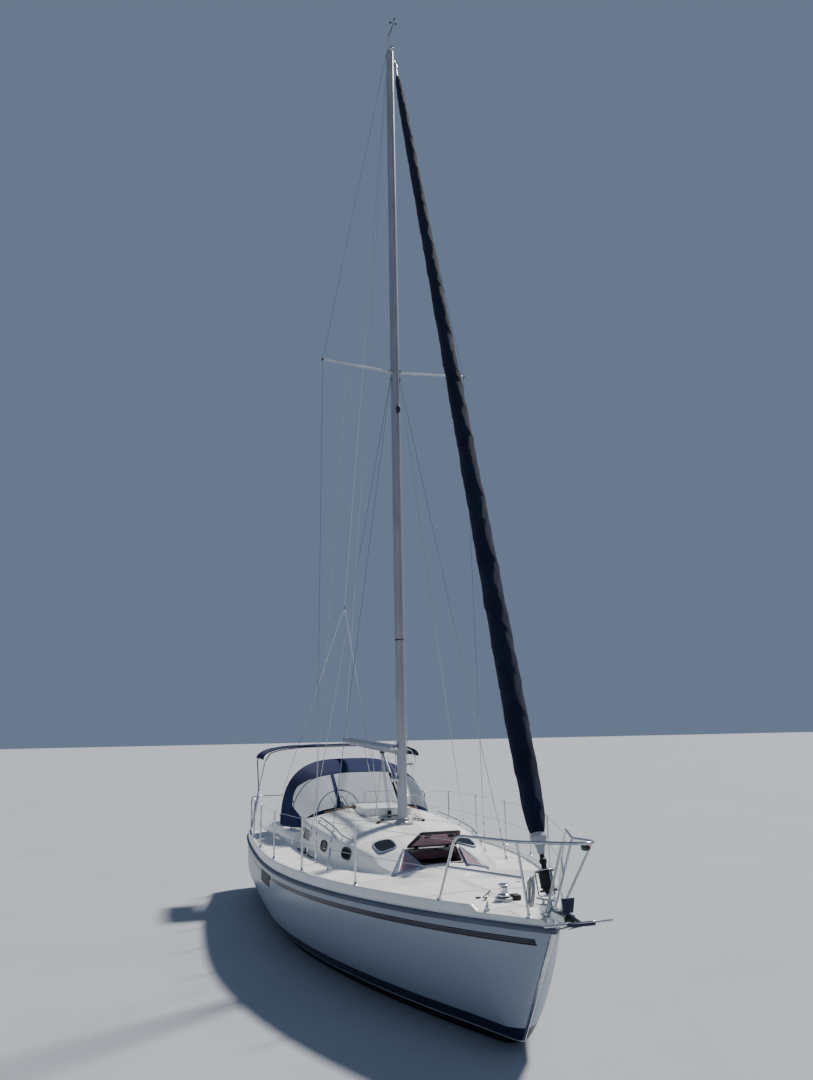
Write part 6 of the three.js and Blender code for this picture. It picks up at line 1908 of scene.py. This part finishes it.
# Masthead instruments
def make_masthead():
    x = mast_x(MASTHEAD_Z)
    z = MASTHEAD_Z - 0.03
    cups_x = x + 0.290
    whip = [turned([(0, 0.009), (0.06, 0.009), (0.062, 0.0035), (0.62, 0.0018)],
                   Matrix.Translation((x - 0.15, 0, z)), 10),
            turned([(0, 0.0075), (0.372, 0.006), (0.38, 0.006)], Matrix.Translation((x + 0.06, 0, z)), 12),
            tubes([[(x + 0.06, 0, z + 0.372), (cups_x, 0, z + 0.372)]], 0.0055, 10),
            turned([(0.355, 0.006), (0.36, 0.011), (0.376, 0.011)], Matrix.Translation((cups_x, 0, z)), 14),
            block(x - 0.165, x + 0.09, -0.015, 0.015, z, z + 0.010, 0.003)]
    kept(together(whip), "masthead_brackets", BLACK, "black_plastic", stands_for=["masthead_instruments"])
    light = turned([(0.01, 0.022), (0.02, 0.026), (0.06, 0.026), (0.066, 0.018), (0.07, 0.008)],
                   Matrix.Translation((x - 0.07, 0, z)), 20)
    kept(light, "anchor_light", CLEAR_VINYL, "black_plastic")
    cups = [turned([(0.379, 0.009), (0.408, 0.009), (0.412, 0.004)], Matrix.Translation((cups_x, 0, z)), 16)]
    hub = Vector((cups_x, 0, z + 0.403))
    for a in full_turn(3):
        way = Vector((math.cos(a), math.sin(a), 0))
        end = hub + way * 0.062
        cups.append(tubes([[hub, end]], 0.0028, 8))
        cups.append(turned([(-0.020, 0.0035), (-0.014, 0.012), (-0.004, 0.0175), (0.006, 0.0195),
                            (0.004, 0.0175), (-0.010, 0.008)], facing(end, (-way.y, way.x, 0)), 16))
    kept(together(cups), "wind_cups_moulded", BLACK, "black_plastic", "wind_cups", ["wind_cups"])
    level = z + 0.408
    vane = [turned([(0.381, 0.007), (0.41, 0.006)], Matrix.Translation((x + 0.06, 0, z)), 12),
            tubes([[(x - 0.05, 0, level), (x + 0.15, 0, level)]], 0.0028, 8),
            turned([(-0.012, 0.004), (0.0, 0.007), (0.012, 0.002)],
                   facing((x + 0.148, 0, level), (1, 0, 0)), 12),
            plate([(x - 0.05, -0.0015, z + 0.406), (x + 0.01, -0.0015, z + 0.406),
                   (x - 0.01, -0.0015, z + 0.448), (x - 0.05, -0.0015, z + 0.450)], (0, 0.003, 0))]
    kept(together(vane), "wind_vane_moulded", BLACK, "black_plastic", "wind_vane", ["wind_vane"])


# Running rigging. All of it is hauled tight, so it runs straight from lead to lead.
# Each control line's block beside the mast and its clutch: x and y of the block, y of the clutch
CONTROL_LINES = ((0.41, 0.350, 0.600), (0.36, 0.300, 0.555), (0.30, 0.250, 0.510))


def make_halyards():
    x_top = mast_x(MASTHEAD_Z)
    # Halyards down the mast's faces to its foot and its winches
    whites = [[(x_top + 0.12, 0.02, MASTHEAD_Z - 0.11), (mast_x(2.0) + MAST_LONG + 0.012, 0.030, 2.1),
               (mast_x(1.80) + MAST_LONG + 0.02, 0.05, 1.78)],
              [(x_top - 0.02, 0.075, MASTHEAD_Z - 0.12), (mast_x(2.6), MAST_WIDE + 0.028, 2.60)],
              [(x_top + 0.03, -0.075, MASTHEAD_Z - 0.12), (mast_x(2.4), -MAST_WIDE - 0.028, 2.40)]]
    kept(tubes(whites, 0.0045, 8), "mast_halyards_white", ROPE_WHITE, "spar_alloy", degrees=60)
    reds = [[(x_top + 0.12, -0.02, MASTHEAD_Z - 0.11), (mast_x(2.9) + MAST_LONG + 0.014, -0.030, 2.9),
             (mast_x(2.82), -MAST_WIDE - 0.036, 2.83)]]
    kept(tubes(reds, 0.0045, 8), "mast_halyard_red", ROPE_RED, "spar_alloy", degrees=60)
    # The topping lift goes with the boom's end
    kept(tubes([[(x_top - 0.15, 0, MASTHEAD_Z - 0.11), (-3.235, 0, 2.935)]], 0.0028, 8), "topping_lift",
         STEEL, "spar_alloy", "boom", degrees=60)
    # Flag halyard, from under the starboard spreader to the rail
    flag = [[(mast_x(SPREADER_Z), y, SPREADER_Z + 0.045), (x, -CHAINPLATE_Y - 0.02, 1.40)]
            for y, x in ((-0.82, 0.30), (-0.84, 0.33))]
    kept(tubes(flag, 0.0018, 6), "flag_halyard", ROPE_WHITE, "spar_alloy", degrees=60)


def make_control_lines(roof):
    """Lines from the mast's foot: through blocks beside it, aft to the clutches on the roof."""
    rows = [(0.0, 0.010), (0.002, 0.030), (0.008, 0.030), (0.010, 0.024), (0.024, 0.024), (0.026, 0.030),
            (0.032, 0.030), (0.034, 0.012)]
    for word, side in SIDES:
        lines, blocks = [], []
        for number, (x, y, clutch_y) in enumerate(CONTROL_LINES):
            start = Vector((mast_x(1.79) - 0.02, side * (0.075 + 0.012 * number), 1.775))
            lead = seated(roof, x, side * y, 0.022)[0]
            bend = seated(roof, -0.30, side * (y + (clutch_y - y) * 0.55), 0.022)[0]
            clutch = seated(roof, -1.30, side * clutch_y, 0.030)[0]
            lines.append([start, lead, bend, clutch])
            blocks.append(turned(rows, facing(*seated(roof, x, side * y)), 20))
        kept(tubes(lines[::2], 0.005, 8), f"control_lines_{word}", ROPE_WHITE, "canvas", degrees=60)
        kept(tubes(lines[1:2], 0.005, 8), f"control_line_dark_{word}", ROPE_DARK, "canvas", degrees=60)
        kept(together(blocks), f"turning_blocks_{word}", BLACK, "black_plastic")
        jaws = []
        for _, _, clutch_y in CONTROL_LINES:
            at = seated(roof, -1.365, side * clutch_y)[0]
            jaws.append(block_at(at, 0.070, 0.016, -0.004, 0.050, 0.006))
            jaws.append(block(at.x - 0.060, at.x + 0.045, at.y - 0.010, at.y + 0.010, at.z + 0.052,
                              at.z + 0.064))
        kept(together(jaws), f"rope_clutches_{word}", BLACK, "black_plastic")


def make_boom_lines(roof):
    """The tackle from the boom to the roof just aft of the mast, and the lines beside it."""
    pad = seated(roof, -0.195, 0.0)[0]
    tackle = [[(-0.62, y, 2.705), pad + Vector((0, y * 1.3, 0.060))] for y in (-0.018, -0.006, 0.006, 0.018)]
    kept(tubes(tackle, 0.0045, 8), "mainsheet_falls", ROPE_WHITE, "canvas", degrees=60)
    lower = block(pad.x - 0.022, pad.x + 0.022, -0.030, 0.030, pad.z - 0.004, pad.z + 0.075, 0.010)
    kept(lower, "mainsheet_block_lower", BLACK, "black_plastic")
    upper = block(-0.645, -0.595, -0.028, 0.028, 2.690, 2.752, 0.010)
    kept(upper, "mainsheet_block_upper", BLACK, "black_plastic", "boom")

    def from_boom(x, y, foot_x, foot_y):
        z = along([row[:2] for row in BOOM_ROWS[:2]], x) - 0.045
        return [(x, y, z), seated(roof, foot_x, foot_y, 0.03)[0]]

    reefing = [from_boom(-1.05, -0.048, 0.41, -0.350), from_boom(-1.60, -0.048, 0.36, -0.300)]
    kept(tubes(reefing, 0.0042, 8), "reefing_lines", ROPE_WHITE, "canvas", degrees=60)
    outhaul = [from_boom(-0.35, -0.048, 0.40, -0.400), from_boom(-0.80, 0.048, 0.41, 0.350)]
    kept(tubes(outhaul, 0.0042, 8), "outhaul_lines", ROPE_RED, "canvas", degrees=60)


def make_handrails(roof):
    for word, side in SIDES:
        feet = [seated(roof, x, side * y)[0] for x, y in ((-0.78, 0.98), (-0.25, 0.98), (0.28, 0.98),
                                                          (0.80, 0.98), (1.22, 0.90))]
        top = [raised(foot, 0.055) for foot in feet]
        inset = Vector((0.03, 0, 0))
        rail = bent([feet[0], top[0] + inset, *top[1:-1], top[-1] - inset, feet[-1]], 0.03, 5)
        bars = [tubes([rail], 0.0105, 12)]
        bars += [tubes([[foot, head]], 0.009, 10) for foot, head in zip(feet[1:-1], top[1:-1])]
        bars += [turned([(-0.002, 0.022), (0.005, 0.022), (0.009, 0.012)], Matrix.Translation(foot), 16)
                 for foot in feet]
        kept(together(bars), f"roof_handrail_{word}", STEEL, "stainless", degrees=50)


def make_stern_gear():
    """Stern cleats, side-deck genoa tracks with their cars, and the tank fillers."""
    for word, side in SIDES:
        x, y = -4.78, side * 1.30
        z = deck_z(x, y)
        skew = 0.18 * side
        horn = turned([(-0.11, 0.006), (-0.10, 0.011), (0.0, 0.013), (0.10, 0.011), (0.11, 0.006)],
                      facing((x, y, z + 0.045), (1, skew, 0)), 14)
        feet = [turned([(-0.004, 0.020), (0.006, 0.018), (0.010, 0.011), (0.046, 0.010)],
                       Matrix.Translation((x + dx, y + dx * skew, z)), 14) for dx in (-0.04, 0.04)]
        kept(together([horn, *feet]), f"stern_cleat_{word}", STEEL, "stainless")
        track = []
        for x in spaced(-1.05, 0.05, 16):
            y = trunk_sizes(x)[0] + 0.075
            z = deck_z(x, y)
            track.append([(x, side * (y + dy), z + dz) for dy, dz in ((-0.013, -0.002), (-0.013, 0.009),
                                                                      (0.013, 0.009), (0.013, -0.002))])
        x = -0.45
        y = side * (trunk_sizes(x)[0] + 0.075)
        z = deck_z(x, y)
        car = block_at((x, y, z), 0.045, 0.020, 0.004, 0.026, 0.005)
        wheel = turned([(-0.010, 0.024), (-0.006, 0.030), (0.006, 0.030), (0.010, 0.024)],
                       facing((x, y, z + 0.052), (0, 1, 0)), 20)
        kept(together([lofted(track), car, wheel]), f"genoa_track_{word}", BLACK, "black_plastic")
    filler = [turned([(-0.002, 0.034), (0.004, 0.034), (0.006, 0.030)],
                     Matrix.Translation((x, y, deck_z(x, y))), 20)
              for x, y in ((3.1, 0.62), (-1.75, -1.55), (-1.75, 1.55))]
    kept(together(filler), "deck_fillers", STEEL, "stainless")


def make_berth():
    """The forward berth's mattress: puffed as cloth round its foam, as the open hatch shows it."""
    pad = copied("berth_cushion", "berth_mattress")
    # The foam is a little smaller than the CAD pad, which its cover then fills
    middle = Vector((1.805, 0, 0.61))
    for vertex in pad.data.vertices:
        vertex.co = middle + (vertex.co - middle) * 0.985
    shaped(pad, "REMESH", mode="VOXEL", voxel_size=0.024)
    start = [v.co.copy() for v in pad.data.vertices]
    cloth = pad.modifiers.new("Cloth", "CLOTH")
    cloth.settings.use_pressure = True
    cloth.settings.uniform_pressure_force = 4
    cloth.settings.effector_weights.gravity = 0
    for moment in range(1, 21):
        bpy.context.scene.frame_set(moment)
    chosen(pad)
    bpy.ops.object.modifier_apply(modifier="Cloth")
    bpy.context.scene.frame_set(1)
    # The cover moves out by no more than this, and stays on the berth's board
    limit = 0.012
    board = 0.5605
    for vertex, before in zip(pad.data.vertices, start):
        moved = vertex.co - before
        if moved.length > limit:
            vertex.co = before + moved.normalized() * limit
        vertex.co.z = max(vertex.co.z, board)
    shaped(pad, "SUBSURF", levels=1)
    kept(pad, "berth_mattress", UPHOLSTERY, "cushion_cloth", stands_for=["berth_cushion"], degrees=60)


add_camera()
make_hull()
make_hull_inside()
make_stem_guard()
make_rub_rail()
make_deck()
ROOF = make_trunk()
make_flush_hatches(ROOF)
make_front_windows()
make_forward_hatch()
make_portlights(ROOF)
make_mast()
make_boom()
make_headsail()
make_furler()
make_shrouds()
make_backstay()
make_rails()
make_pulpit()
make_bow_light()
make_pushpits()
make_dodger(ROOF)
make_bimini()
make_companionway()
make_saloon_windows(ROOF)
make_nonskid_panels(ROOF)
make_cockpit()
make_helm()
make_below()
make_windlass()
make_anchor()
make_rope_coil()
make_badges()
make_chain()
make_ladder()
make_masthead()
make_halyards()
make_control_lines(ROOF)
make_boom_lines(ROOF)
make_handrails(ROOF)
make_stern_gear()
make_berth()


# Floor and light: a pale floor at the waterline, a high key light from the port quarter, a soft sky
def make_stage():
    bpy.ops.mesh.primitive_plane_add(size=400, location=(0, 0, 0))
    floor = bpy.context.object
    floor.name = "floor"
    floor.data.materials.append(finish("floor_matt_pale", "#A8ADB3", "#AEB3B9", [0.4], Roughness=0.9))
    sun = bpy.data.lights.new("key", "SUN")
    sun.energy = 5.2
    sun.angle = math.radians(6)
    sun.color = (1.0, 0.96, 0.90)
    key = bpy.data.objects.new("key", sun)
    bpy.context.scene.collection.objects.link(key)
    key.matrix_world = facing((0, 0, 20), (-0.35, 0.62, 0.95))
    world = bpy.data.worlds.new("studio")
    bpy.context.scene.world = world
    world.use_nodes = True
    background = world.node_tree.nodes["Background"]
    background.inputs["Color"].default_value = linear("#A9BEE4")
    background.inputs["Strength"].default_value = 0.36


make_stage()
